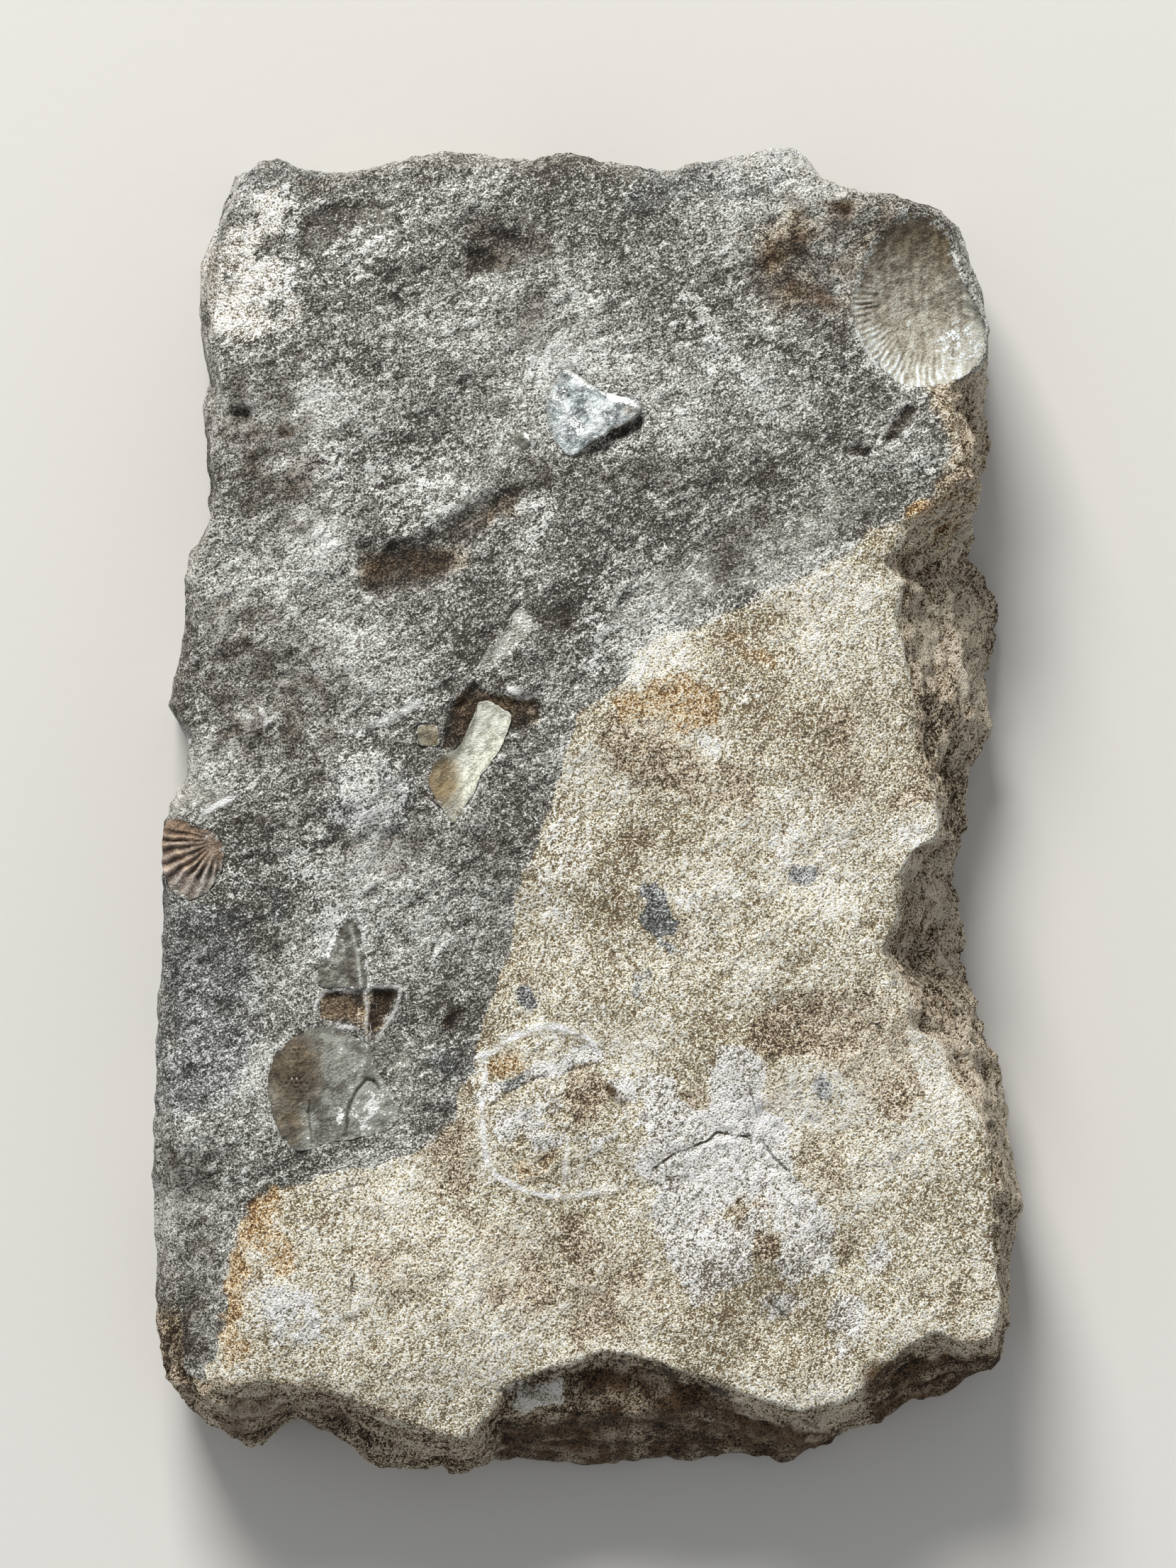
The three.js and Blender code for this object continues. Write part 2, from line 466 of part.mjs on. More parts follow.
/** Body that cuts one pit: its floor follows the upper face, lowered and tilted. */
function makePitCutter([outline, depth, [climbX, climbY]]) {
  const cx = outline.reduce((sum, [x]) => sum + x, 0) / outline.length;
  const cy = outline.reduce((sum, [, y]) => sum + y, 0) / outline.length;
  const floor = (x, y) => upperFace(x, y)
    - Math.max(0.3, depth - climbX * (x - cx) - climbY * (y - cy));
  return makePlate([cx, cy], outline, 2, () => TOP + CUT_HEIGHT, floor);
}

/** Body that cuts the pocket a fossil sits in. */
function makePocketCutter({ center, outline, rings, lift, thickness }) {
  const floor = (x, y, q) => upperFace(x, y) + lift(x, y, Math.min(q, 1)) - thickness - POCKET_FLOOR;
  return makePlate(center, growOutline(outline, POCKET_GAP), rings, () => TOP + CUT_HEIGHT, floor);
}

function makeFossil({ center, outline, rings, lift, thickness }) {
  const top = (x, y, q) => upperFace(x, y) + lift(x, y, q);
  return makePlate(center, outline, rings, top, (x, y, q) => top(x, y, q) - thickness);
}

/** Small round bead that stands in the upper face, part of the stone. */
function makeBead() {
  const [x, y] = BEAD.at;
  const bead = new THREE.SphereGeometry(BEAD.radius, 10, 8);
  bead.translate(x, y, upperFace(x, y) - BEAD.sunk);
  return bead;
}

function makeSlab() {
  let slab = toSolid(makeRoughSlab());
  for (const pit of Object.values(PITS)) slab = slab.subtract(toSolid(makePitCutter(pit)));
  for (const fossil of Object.values(FOSSILS)) slab = slab.subtract(toSolid(makePocketCutter(fossil)));
  return toGeometry(slab.add(toSolid(makeBead())));
}

// ---------------------------------------------------------------- the object

function addPiece(group, name, geometry, color, roughness) {
  const material = new THREE.MeshStandardMaterial({ color, roughness, metalness: 0 });
  const mesh = new THREE.Mesh(geometry, material);
  mesh.name = name;
  group.add(mesh);
}

const fossilSlab = new THREE.Group();
addPiece(fossilSlab, "matrix_slab", makeSlab(), 0x8b8374, 0.9);
for (const [name, fossil] of Object.entries(FOSSILS)) {
  addPiece(fossilSlab, name, makeFossil(fossil), fossil.color, fossil.roughness);
}
export default fossilSlab;
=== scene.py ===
"""Dresses a slab of fossil-bearing rock: its stone, its shells and its pieces of trilobite.

Sizes here are millimetres, as on a drawing, and meshes are made in metres. x runs across the slab,
y along it and z up; the slab rests on z = 0. The stone's upper face is a height over x and y, its
flanks are sections from the rim down to the foot, and each fossil is a plate that is star-shaped
seen from above, so a share q says how far a point lies from the plate's centre to its edge.
"""

import itertools
import logging
import math
from dataclasses import dataclass, field, fields
from enum import Enum

import bpy
import numpy as np
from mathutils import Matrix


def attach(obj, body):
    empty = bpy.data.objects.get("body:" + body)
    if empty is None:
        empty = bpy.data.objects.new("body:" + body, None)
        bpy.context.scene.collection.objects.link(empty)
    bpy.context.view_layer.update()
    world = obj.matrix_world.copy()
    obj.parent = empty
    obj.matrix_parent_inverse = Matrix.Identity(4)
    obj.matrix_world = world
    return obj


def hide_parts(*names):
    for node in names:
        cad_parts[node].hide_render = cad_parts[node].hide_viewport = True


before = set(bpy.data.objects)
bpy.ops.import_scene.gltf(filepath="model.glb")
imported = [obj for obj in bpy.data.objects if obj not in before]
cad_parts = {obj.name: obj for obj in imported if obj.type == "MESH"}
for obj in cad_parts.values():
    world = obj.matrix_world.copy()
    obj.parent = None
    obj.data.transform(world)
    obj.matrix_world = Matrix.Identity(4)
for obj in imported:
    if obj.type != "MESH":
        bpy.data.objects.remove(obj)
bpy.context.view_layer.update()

LOG = logging.getLogger("fossil_slab")
MM = 0.001
BODY = "root"

Array = np.ndarray
Point = tuple[float, float]
Outline = list[Point]
Rgb = tuple[float, float, float]
Marks = dict[str, Array]


# ---------------------------------------------------------------- noise and measures

def lattice(ix: Array, iy: Array, seed: Array | int) -> Array:
    """Value in -1..1 at whole numbers.

    Args:
        ix: whole numbers across.
        iy: whole numbers along.
        seed: which of the lattices.

    Returns:
        One value for each pair.
    """
    low = 0xFFFFFFFF
    h = (np.asarray(ix, np.int64) * 374761393 & low) + (np.asarray(iy, np.int64) * 668265263 & low)
    h = (h + (np.asarray(seed, np.int64) * 974634777 & low)) & low
    h = ((h ^ (h >> 13)).astype(np.uint64) * np.uint64(1274126177)) & np.uint64(low)
    return (h ^ (h >> np.uint64(16))).astype(float) / low * 2 - 1


def value_noise(x: Array, y: Array, seed: int) -> Array:
    """Smooth noise in -1..1, the same one that shapes the solid's lumps.

    Args:
        x: places across, in wavelengths.
        y: places along, in wavelengths.
        seed: which of the lattices.

    Returns:
        One value for each place.
    """
    ix, iy = np.floor(x), np.floor(y)
    u, v = ramp(0, 1, x - ix), ramp(0, 1, y - iy)
    near = lattice(ix, iy, seed) * (1 - u) + lattice(ix + 1, iy, seed) * u
    far = lattice(ix, iy + 1, seed) * (1 - u) + lattice(ix + 1, iy + 1, seed) * u
    return near * (1 - v) + far * v


def gradient_noise(places: Array, seed: int) -> Array:
    """Gradient noise of about -1..1 in three dimensions.

    Args:
        places: rows of x, y, z in wavelengths.
        seed: which of the lattices.

    Returns:
        One value for each row.
    """
    cell = np.floor(places).astype(np.int64)
    inner = places - cell
    fade = inner ** 3 * (inner * (inner * 6 - 15) + 10)
    total = np.zeros(len(places))
    for corner in itertools.product((0, 1), repeat=3):
        at = cell + corner
        h = lattice(at[:, 0], at[:, 1], seed + 57 * at[:, 2])
        slope = np.stack([h, np.sin(h * 571.3), np.sin(h * 917.7 + 1)], axis=1)
        weight = np.prod(np.where(corner, fade, 1 - fade), axis=1)
        total += weight * (slope * (inner - corner)).sum(1)
    return total * 1.5


class Grain(Enum):
    """Ways in which octaves of noise add up."""

    SOFT = "soft"
    RIDGED = "ridged"


def rough(places: Array, wavelength: float, seed: int, octaves: int = 3, kind: Grain = Grain.SOFT,
          stretch: Point = (1, 1), turn: float = 0) -> Array:
    """Several octaves of noise.

    Args:
        places: rows of x, y, z in mm.
        wavelength: of the longest octave, in mm.
        seed: which of the lattices.
        octaves: how many there are.
        kind: soft hummocks, or ridges with valleys between them.
        stretch: how much longer the pattern is along its own axes.
        turn: degrees that those axes are turned.

    Returns:
        One value of about -1..1 for each row.
    """
    a = math.radians(turn)
    x = (places[:, 0] * math.cos(a) + places[:, 1] * math.sin(a)) / stretch[0]
    y = (places[:, 1] * math.cos(a) - places[:, 0] * math.sin(a)) / stretch[1]
    p = np.stack([x, y, places[:, 2]], axis=1) / wavelength
    total, size = np.zeros(len(p)), 1.0
    for octave in range(octaves):
        n = gradient_noise(p, seed + 11 * octave)
        total += size * (n if kind is Grain.SOFT else 1 - 2.4 * np.abs(n))
        p = p[:, [1, 2, 0]] * 2.07 + 3.7
        size *= 0.52
    return total / 1.4


def ramp(start: float, end: float, value: Array) -> Array:
    """0 at start, 1 at end, smooth between; start may be the larger."""
    t = np.clip((value - start) / (end - start), 0, 1)
    return t * t * (3 - 2 * t)


def bell(swell: tuple[float, ...], x: Array, y: Array) -> Array:
    """Bell-shaped swell over an ellipse.

    Args:
        swell: centre x, y, half sizes, turn in degrees and height.
        x: places across.
        y: places along.

    Returns:
        Its height at each place, 0 past its half sizes.
    """
    cx, cy, rx, ry, turn, height = swell
    a = math.radians(turn)
    u = ((x - cx) * math.cos(a) + (y - cy) * math.sin(a)) / rx
    v = ((y - cy) * math.cos(a) - (x - cx) * math.sin(a)) / ry
    return height * np.maximum(0, 1 - u * u - v * v) ** 1.5


def on_plane(x: Array, y: Array) -> Array:
    """Rows of x, y and a z of 0."""
    return np.column_stack([x, y, np.zeros(len(x))])


def strayed(p: Array, by: Array | float, wavelength: float, seed: int,
            octaves: int = 2) -> tuple[Array, ...]:
    """x and y led astray by noise, by about so many mm; y takes the lattice after x's."""
    return tuple(p[:, axis] + by * rough(p, wavelength, seed + axis, octaves) for axis in (0, 1))


def soft_weights(count: int) -> Array:
    """Weights of a soft average over that many neighbours."""
    weights = np.hanning(count)
    return weights / weights.sum()


def fan(middle: int, first: int, count: int) -> list[tuple[int, ...]]:
    """Triangles from one point to a ring, given by its first point and its count."""
    return [(middle, first + i, first + (i + 1) % count) for i in range(count)]


def band(upper: int, lower: int, count: int) -> list[tuple[int, ...]]:
    """Quads between two rings of as many points, given by their first points."""
    return [(upper + i, lower + i, lower + (i + 1) % count, upper + (i + 1) % count)
            for i in range(count)]


FAR = 30.0      # distance given to places out of a line's reach, mm


def line_distance(points: Outline, x: Array, y: Array, reach: float, closed: bool = False) -> Array:
    """Distance to a line of straight pieces, with the side as its sign.

    Args:
        points: the line.
        x: places across.
        y: places along.
        reach: how far from the line's box places are measured.
        closed: whether the last point joins the first.

    Returns:
        The distance, positive to the left of the line, or FAR out of reach.
    """
    line = np.array(points + points[:1] if closed else points, float)
    lo, hi = line.min(0) - reach, line.max(0) + reach
    near = (x > lo[0]) & (x < hi[0]) & (y > lo[1]) & (y < hi[1])
    best = np.full(x.shape, FAR)
    if not near.any():
        return best
    px, py = x[near], y[near]
    least, side = np.full(px.shape, FAR), np.ones(px.shape)
    for (ax, ay), (bx, by) in zip(line[:-1], line[1:]):
        ux, uy = bx - ax, by - ay
        t = np.clip(((px - ax) * ux + (py - ay) * uy) / (ux * ux + uy * uy), 0, 1)
        d = np.hypot(px - ax - t * ux, py - ay - t * uy)
        closer = d < least
        least = np.where(closer, d, least)
        side = np.where(closer, np.where(ux * (py - ay) - uy * (px - ax) >= 0, 1.0, -1.0), side)
    best[near] = least * side
    return best


def inside_distance(points: Outline, x: Array, y: Array, reach: float = 6) -> Array:
    """Distance in from a closed outline.

    Args:
        points: the outline, either way round.
        x: places across.
        y: places along.
        reach: how far outside places are measured.

    Returns:
        Positive inside, negative outside, -FAR out of reach.
    """
    d = np.abs(line_distance(points, x, y, reach, closed=True))
    within = np.zeros(x.shape, bool)
    for (ax, ay), (bx, by) in zip(points, points[1:] + points[:1]):
        if ay != by:
            crosses = (ay > y) != (by > y)
            within ^= crosses & (x < (bx - ax) * (y - ay) / (by - ay) + ax)
    return np.where(within, d, -d)


def smooth_loop(points: Outline, count: int) -> Array:
    """Closed curve through points.

    Args:
        points: the points it passes.
        count: how many it comes back as.

    Returns:
        Rows of x, y.
    """
    p = np.array(points, float)
    n = len(p)
    t = np.arange(count) * n / count
    i, f = t.astype(int), (t % 1)[:, None]
    a, b, c, d = p[(i - 1) % n], p[i % n], p[(i + 1) % n], p[(i + 2) % n]
    return 0.5 * (2 * b + (c - a) * f + (2 * a - 5 * b + 4 * c - d) * f ** 2
                  + (3 * b - a - 3 * c + d) * f ** 3)


# ---------------------------------------------------------------- shader writing

GRAIN_TURN = 32.0                       # of the grey stone's grain, degrees
GRAIN_STRETCH = (1.45, 0.85, 2.0)       # how far it is drawn out along its own axes
GRAIN_SIZE, GRIT_SIZE = 0.85, 0.28      # feature sizes, mm
FIBRE_SPACING, CREASE_SPACING = 0.95, 1.7
GRADES = ((0.08, 0.3), (0.42, 0.58), (0.8, 0.9))    # levels between a palette's four steps


@dataclass(frozen=True)
class Socket:
    """One output socket of a material's nodes; arithmetic on it adds Math nodes."""

    tree: bpy.types.NodeTree
    output: bpy.types.NodeSocket

    def math(self, operation: str, *values: "Socket | float", clamp: bool = False) -> "Socket":
        """Adds a Math node.

        Args:
            operation: Blender's name of the operation.
            values: its inputs, in order.
            clamp: whether the result is held in 0..1.

        Returns:
            The node's result.
        """
        node = self.tree.nodes.new("ShaderNodeMath")
        node.operation, node.use_clamp = operation, clamp
        for slot, value in zip(node.inputs, values):
            feed(self.tree, slot, value)
        return Socket(self.tree, node.outputs[0])

    def __add__(self, other: "Socket | float") -> "Socket":
        """Sum."""
        return self.math("ADD", self, other)

    def __radd__(self, other: float) -> "Socket":
        """Sum, with the number first."""
        return self.math("ADD", other, self)

    def __sub__(self, other: "Socket | float") -> "Socket":
        """Difference."""
        return self.math("SUBTRACT", self, other)

    def __rsub__(self, other: float) -> "Socket":
        """Difference, with the number first."""
        return self.math("SUBTRACT", other, self)

    def __mul__(self, other: "Socket | float") -> "Socket":
        """Product."""
        return self.math("MULTIPLY", self, other)

    def __rmul__(self, other: float) -> "Socket":
        """Product, with the number first."""
        return self.math("MULTIPLY", other, self)

    def __abs__(self) -> "Socket":
        """Size without its sign."""
        return self.math("ABSOLUTE", self)

    def held(self) -> "Socket":
        """Held in 0..1."""
        return self.math("ADD", self, 0.0, clamp=True)

    def over(self, start: float, end: float) -> "Socket":
        """0 at start and 1 at end, straight between, held in 0..1."""
        return self.math("MULTIPLY", self - start, 1 / (end - start), clamp=True)


Feed = Socket | float | tuple


def feed(tree: bpy.types.NodeTree, slot: bpy.types.NodeSocket, value: Feed) -> None:
    """Gives an input socket its link or its value.

    Args:
        tree: the material's nodes.
        slot: the input.
        value: a socket to link, a number, or a colour or vector.
    """
    if isinstance(value, Socket):
        tree.links.new(value.output, slot)
    elif isinstance(value, tuple) and len(value) == 3 and slot.type == "RGBA":
        slot.default_value = (*value, 1.0)
    else:
        slot.default_value = value


class Shader:
    """Writes the nodes of one material."""

    def __init__(self, name: str) -> None:
        """Starts an empty material of that name."""
        self.material = bpy.data.materials.new(name)
        self.material.use_nodes = True
        self.tree = self.material.node_tree
        self.tree.nodes.clear()

    def node(self, kind: str, settings: dict | None = None, inputs: dict | None = None,
             output: int | str = 0) -> Socket:
        """Adds any node.

        Args:
            kind: its type, without ShaderNode.
            settings: its own properties, set first.
            inputs: values or links by the sockets' names or numbers.
            output: which output comes back.

        Returns:
            That output.
        """
        made = self.tree.nodes.new("ShaderNode" + kind)
        for key, value in (settings or {}).items():
            setattr(made, key, value)
        for key, value in (inputs or {}).items():
            feed(self.tree, made.inputs[key], value)
        return Socket(self.tree, made.outputs[output])

    def places(self) -> Socket:
        """Places on the object, in mm."""
        at = self.node("TexCoord", output="Object")
        return self.node("VectorMath", {"operation": "SCALE"}, {0: at, "Scale": 1 / MM})

    def laid(self, places: Socket, turn: float, stretch: tuple) -> Socket:
        """Places turned about z, in degrees, and stretched along the turned axes."""
        return self.node("Mapping", {"vector_type": "TEXTURE"},
                         {"Vector": places, "Rotation": (0.0, 0.0, math.radians(turn)),
                          "Scale": stretch})

    def noise(self, places: Socket, size: float, detail: float, roughness: float = 0.55) -> Socket:
        """Noise in 0..1 of a given feature size in mm."""
        return self.node("TexNoise", {"noise_type": "FBM", "normalize": True},
                         {"Vector": places, "Scale": 1 / size, "Detail": detail,
                          "Roughness": roughness})

    def thread(self, places: Socket, spacing: float, detail: float, width: float) -> Socket:
        """Fine winding lines: 1 on a line, 0 where the noise is a width away from it."""
        return abs(self.noise(places, spacing, detail, 0.72) - 0.5).over(width, 0.0)

    def grain(self, places: Socket, turn: float) -> Socket:
        """The stone's grain, drawn out at a turn in degrees, round 0."""
        return self.noise(self.laid(places, turn, GRAIN_STRETCH), GRAIN_SIZE, 4, 0.74) - 0.5

    def grains(self, places: Socket) -> tuple[Socket, Socket, Socket, Socket]:
        """Grain and finer grit, each round 0, and light fibres and dark creases, 0..1."""
        drawn = self.laid(places, GRAIN_TURN, GRAIN_STRETCH)
        return (self.grain(places, GRAIN_TURN), self.noise(places, GRIT_SIZE, 1.5, 0.65) - 0.5,
                self.thread(drawn, FIBRE_SPACING, 3, 0.055),
                self.thread(drawn, CREASE_SPACING, 4, 0.04))

    def graded(self, level: Socket, steps: tuple) -> Socket:
        """Colour at a level, from four steps: crevices with painted shade, dark, light and bright grains.
        """
        color, *brighter = steps
        for (start, end), step in zip(GRADES, brighter):
            color = self.mix(level.over(start, end), color, step)
        return color

    def mark(self, name: str) -> Socket:
        """A value kept on the mesh's points."""
        return self.node("Attribute", {"attribute_name": name}, output="Fac")

    def mix(self, share: Feed, first: Feed, second: Feed, blend: str = "MIX") -> Socket:
        """Lays a share of the second colour over the first, mixed as Blender's name says."""
        return self.node("Mix", {"data_type": "RGBA", "blend_type": blend, "clamp_result": False},
                         {0: share, 6: first, 7: second}, 2)

    def bump(self, height: Socket, depth: float) -> Socket:
        """Normals of a height in 0..1 that stands for a depth in mm."""
        return self.node("Bump", None, {"Strength": 1.0, "Distance": depth * MM, "Height": height})

    def finish(self, color: Socket, roughness: Feed, normal: Socket,
               specular: float) -> bpy.types.Material:
        """Closes the material.

        Args:
            color: its base colour.
            roughness: number or link.
            normal: from a bump node.
            specular: how strongly it reflects, 0.5 being a usual stone.

        Returns:
            The material.
        """
        surface = self.node("BsdfPrincipled", None,
                            {"Base Color": color, "Roughness": roughness, "Normal": normal,
                             "Specular IOR Level": specular})
        out = self.tree.nodes.new("ShaderNodeOutputMaterial")
        self.tree.links.new(surface.output, out.inputs["Surface"])
        return self.material


def srgb(red: float, green: float, blue: float) -> Rgb:
    """Linear colour of screen values in 0..255."""
    def linear(value: float) -> float:
        """One channel."""
        v = value / 255
        return v / 12.92 if v <= 0.04045 else ((v + 0.055) / 1.055) ** 2.4
    return linear(red), linear(green), linear(blue)


@dataclass(frozen=True)
class Palette:
    """Colours of one kind of stone, from its crevices with their painted shade to its brightest grains.
    """

    deep: Rgb
    dark: Rgb
    light: Rgb
    bright: Rgb

    def steps(self) -> tuple[Rgb, ...]:
        """The four colours in order."""
        return self.deep, self.dark, self.light, self.bright

    @classmethod
    def screen(cls, *steps: Rgb) -> "Palette":
        """Palette of four screen colours in 0..255."""
        return cls(*(srgb(*step) for step in steps))


GREY_STONE = Palette.screen((62, 58, 53), (124, 121, 113), (180, 180, 172), (244, 245, 241))


# ---------------------------------------------------------------- the stone's drawing

@dataclass(frozen=True)
class Side:
    """One side of the slab.

    outline is the widest line seen from above, rim the edge of the upper face. profile rows are
    [t, f1, d1, f2, d2, z]: at the share t of the side, the section drops d1 below the rim at the
    share f1 of the way out, d2 at f2, and meets the widest line at height z.
    """

    outline: Outline
    rim: Outline
    profile: list[tuple[float, ...]]


BACK = Side(
    outline=[(-50, 89.8), (-46.5, 91.3), (-43.5, 91.6), (-41, 90.4), (-36, 89.7), (-31, 90.4),
        (-25.5, 92.6), (-18, 93), (-8, 91.8), (-3, 92.8), (5, 90.8), (12, 90.1), (14, 91.4),
        (24.5, 92.7), (28.5, 93.2), (30.5, 92.2), (33, 89.2), (37, 87.6), (45, 86.2), (47.5, 84.9),
        (52.2, 82.3)],
    rim=[(-48.5, 87.3), (-44, 88.6), (-37, 86.8), (-25, 89.4), (-17, 90), (-8, 89.2), (-3, 90),
        (11, 87.6), (19, 89), (28, 90.4), (32, 87), (44.5, 84.8), (50.6, 81.6)],
    profile=[(0, 0.5, 1.3, 0.85, 4.5, 15), (0.5, 0.5, 1, 0.85, 4, 17), (1, 0.5, 1.5, 0.85, 5, 17)],
)
RIGHT = Side(
    outline=[(52.2, 82.3), (54.1, 76), (57, 68), (56.2, 62), (55.7, 56), (56.8, 51.5), (55, 47),
        (53.5, 36), (55.6, 33), (57, 29.5), (57.5, 25), (55.8, 19.5), (57, 12.5), (55.5, 8.8),
        (53.5, 5.3), (53, 0), (51, -10), (52.3, -14.5), (52.3, -21.5), (54.3, -26), (56, -32.3),
        (57.6, -35), (59.2, -39.5), (58.6, -42.8), (60.8, -55.5), (59.6, -61.5), (59.3, -72),
        (58.2, -77.3)],
    rim=[(50.6, 81.6), (52.6, 75.5), (55.4, 69), (54.6, 63), (50.6, 59.5), (52.4, 51), (52.8, 46.5),
        (48, 42.8), (44, 40.4), (42, 34.5), (43.7, 30.8), (43, 27), (45, 17), (45.6, 9), (48.8, 3),
        (49.3, -3.5), (45.5, -5.8), (43.5, -9), (43.4, -14.5), (41.3, -19.8), (44.6, -26.2),
        (45.2, -30.7), (48.6, -32.3), (50.1, -36.8), (54.3, -42.5), (57, -53), (56.9, -61), (58, -69),
        (56.8, -74.4)],
    profile=[(0, 0.5, 2, 0.85, 6, 17), (0.11, 0.4, 2, 0.8, 6, 17), (0.16, 0.3, 6, 0.7, 12, 10),
        (0.23, 0.3, 5, 0.7, 13, 9), (0.26, 0.35, 4, 0.7, 12, 8), (0.31, 0.3, 9, 0.58, 12, 5),
        (0.38, 0.3, 9, 0.6, 11.5, 6), (0.42, 0.35, 6, 0.7, 12, 8), (0.48, 0.3, 5, 0.7, 12, 10),
        (0.52, 0.35, 8, 0.7, 15, 8), (0.57, 0.3, 11, 0.7, 17, 6), (0.66, 0.3, 10, 0.65, 15, 7),
        (0.72, 0.3, 6, 0.65, 12, 8), (0.78, 0.35, 6, 0.7, 13, 8), (0.9, 0.3, 6, 0.7, 14, 9),
        (1, 0.4, 5, 0.8, 12, 9)],
)
FRONT = Side(
    outline=[(-59.5, -80.2), (-56.5, -84), (-52.5, -87.5), (-48, -89.9), (-46, -89.6), (-43.5, -87.2),
        (-41.5, -86.3), (-37, -87.7), (-34.5, -89.5), (-31, -92), (-27, -93), (-20.7, -92.6),
        (-19, -94), (-17, -93.6), (-14, -92.2), (-9, -92), (2, -93.1), (10, -92.1), (26, -91.6),
        (29, -92.2), (33.5, -90), (36.5, -88.2), (41.5, -86.8), (46.5, -83.6), (50.5, -82.6),
        (54.5, -80), (57.2, -79), (58.2, -77.3)],
    rim=[(-56.5, -79.3), (-51, -81.5), (-46, -80.2), (-35, -82.5), (-30, -84.5), (-22, -87.6),
        (-18.5, -88.7), (-16, -87.6), (-14.5, -84.6), (-11.5, -81), (-5, -78.4), (2, -76.2), (8, -77),
        (16, -79.8), (22, -82), (30, -84.7), (35, -83.7), (38.5, -81.5), (45, -75.5), (49, -73.7),
        (53, -75), (56.8, -74.4)],
    profile=[(0, 0.5, 2.5, 0.85, 7, 13), (0.1, 0.3, 4, 0.7, 10, 10), (0.16, 0.3, 7, 0.7, 13, 8),
        (0.24, 0.35, 8, 0.8, 11, 10), (0.33, 0.35, 8, 0.85, 10, 12), (0.375, 0.4, 3, 0.85, 8, 10),
        (0.4, 0.1, 3.5, 0.45, 6, 5), (0.52, 0.08, 3.5, 0.5, 6.5, 4), (0.62, 0.12, 3.5, 0.42, 7, 4),
        (0.68, 0.2, 6, 0.5, 13, 4), (0.78, 0.15, 4, 0.35, 6, 5), (0.84, 0.3, 8, 0.65, 15, 6),
        (0.94, 0.3, 7, 0.7, 14, 8), (1, 0.4, 5, 0.8, 12, 9)],
)
LEFT = Side(
    outline=[(-59.5, -80.2), (-59.8, -75), (-60.5, -62), (-61, -57.5), (-60.9, -40), (-60.2, -20),
        (-59.4, -8), (-59.6, -2), (-58.3, 0.4), (-56.1, 4.5), (-56, 9.5), (-59, 14.7), (-58.6, 18),
        (-56.7, 27.3), (-56.5, 32.5), (-56, 36), (-53.1, 41.6), (-53.5, 47), (-54.2, 52), (-54.3, 57),
        (-53.5, 60), (-55, 70), (-54.7, 77), (-52.4, 82.3), (-50, 89.8)],
    rim=[(-56.5, -79.3), (-57.2, -70), (-58.1, -55), (-57.8, -30), (-57, -14), (-57, -3), (-53.9, 5.5),
        (-54.3, 11), (-56.3, 15), (-55.4, 21), (-53.9, 33), (-50.9, 42), (-51.4, 50), (-51.3, 58),
        (-52.5, 70), (-51.6, 78), (-48.5, 87.3)],
    profile=[(0, 0.5, 2.5, 0.85, 7, 13), (0.3, 0.5, 1.5, 0.85, 5, 14), (0.6, 0.5, 1.2, 0.85, 4, 15),
        (1, 0.5, 1.3, 0.85, 4.5, 15)],
)

SWELLS: dict[str, tuple[float, ...]] = {
    "smooth_plateau": (-22, 45.2, 10, 6.5, -15, 1.1),
    "pale_lump": (-31, 2.5, 8, 7, 20, 1.6),
    "hollow_under_lump": (-26, -6.5, 8, 4.5, 0, -1),
    "round_boss": (-47.6, 12.6, 3.2, 3.2, 0, 0.9),
    "broad_hollow": (-40, 16, 9, 7.5, 0, -1.4),
    "hollow_by_pits": (-12, 81.5, 9, 6, 0, -1.1),
    "hollow_by_valve": (28, 74, 8, 6, 0, -0.9),
    "rusty_hollow": (-4, 27.5, 5, 3.5, -20, -1),
    "tan_dome": (-40, -66, 14, 12, 0, 1.4),
    "ring_dome": (-6, -43, 11, 14, 0, 0.6),
    "brown_dip": (31, -30, 12, 6, 0, -0.9),
    "lavender_swell": (20, -52, 14, 16, 20, 0.6),
    "right_ridge": (53, -50, 4, 11, 15, 0.9),
    "mound_by_head": (-22, -36, 8, 9, 0, 0.7),
}


@dataclass(frozen=True)
class Fall:
    """Fall of the upper face near an edge: from line to line along one axis."""

    along_x: bool
    start: float
    end: float
    drop: float
    fade_start: float
    fade_end: float


FALLS = [
    Fall(True, -47, -61, 5, -45, -60),
    Fall(True, -41, -56, 4, 62, 72),
    Fall(False, 84, 93, 2.5, -44, -34),
    Fall(False, -77, -91, 3, -8, -14),
]


@dataclass(frozen=True)
class Pit:
    """Pit with an edge: its outline, its depth, and how its floor climbs along x and y per mm."""

    outline: Outline
    depth: float
    climb: Point = (0, 0)
    wall: float = 0.45
    # How much the pit is darkened brown, more where it is deeper: partly dirty stone, partly painted
    # shade.
    dirt_and_shade: float = 0.65


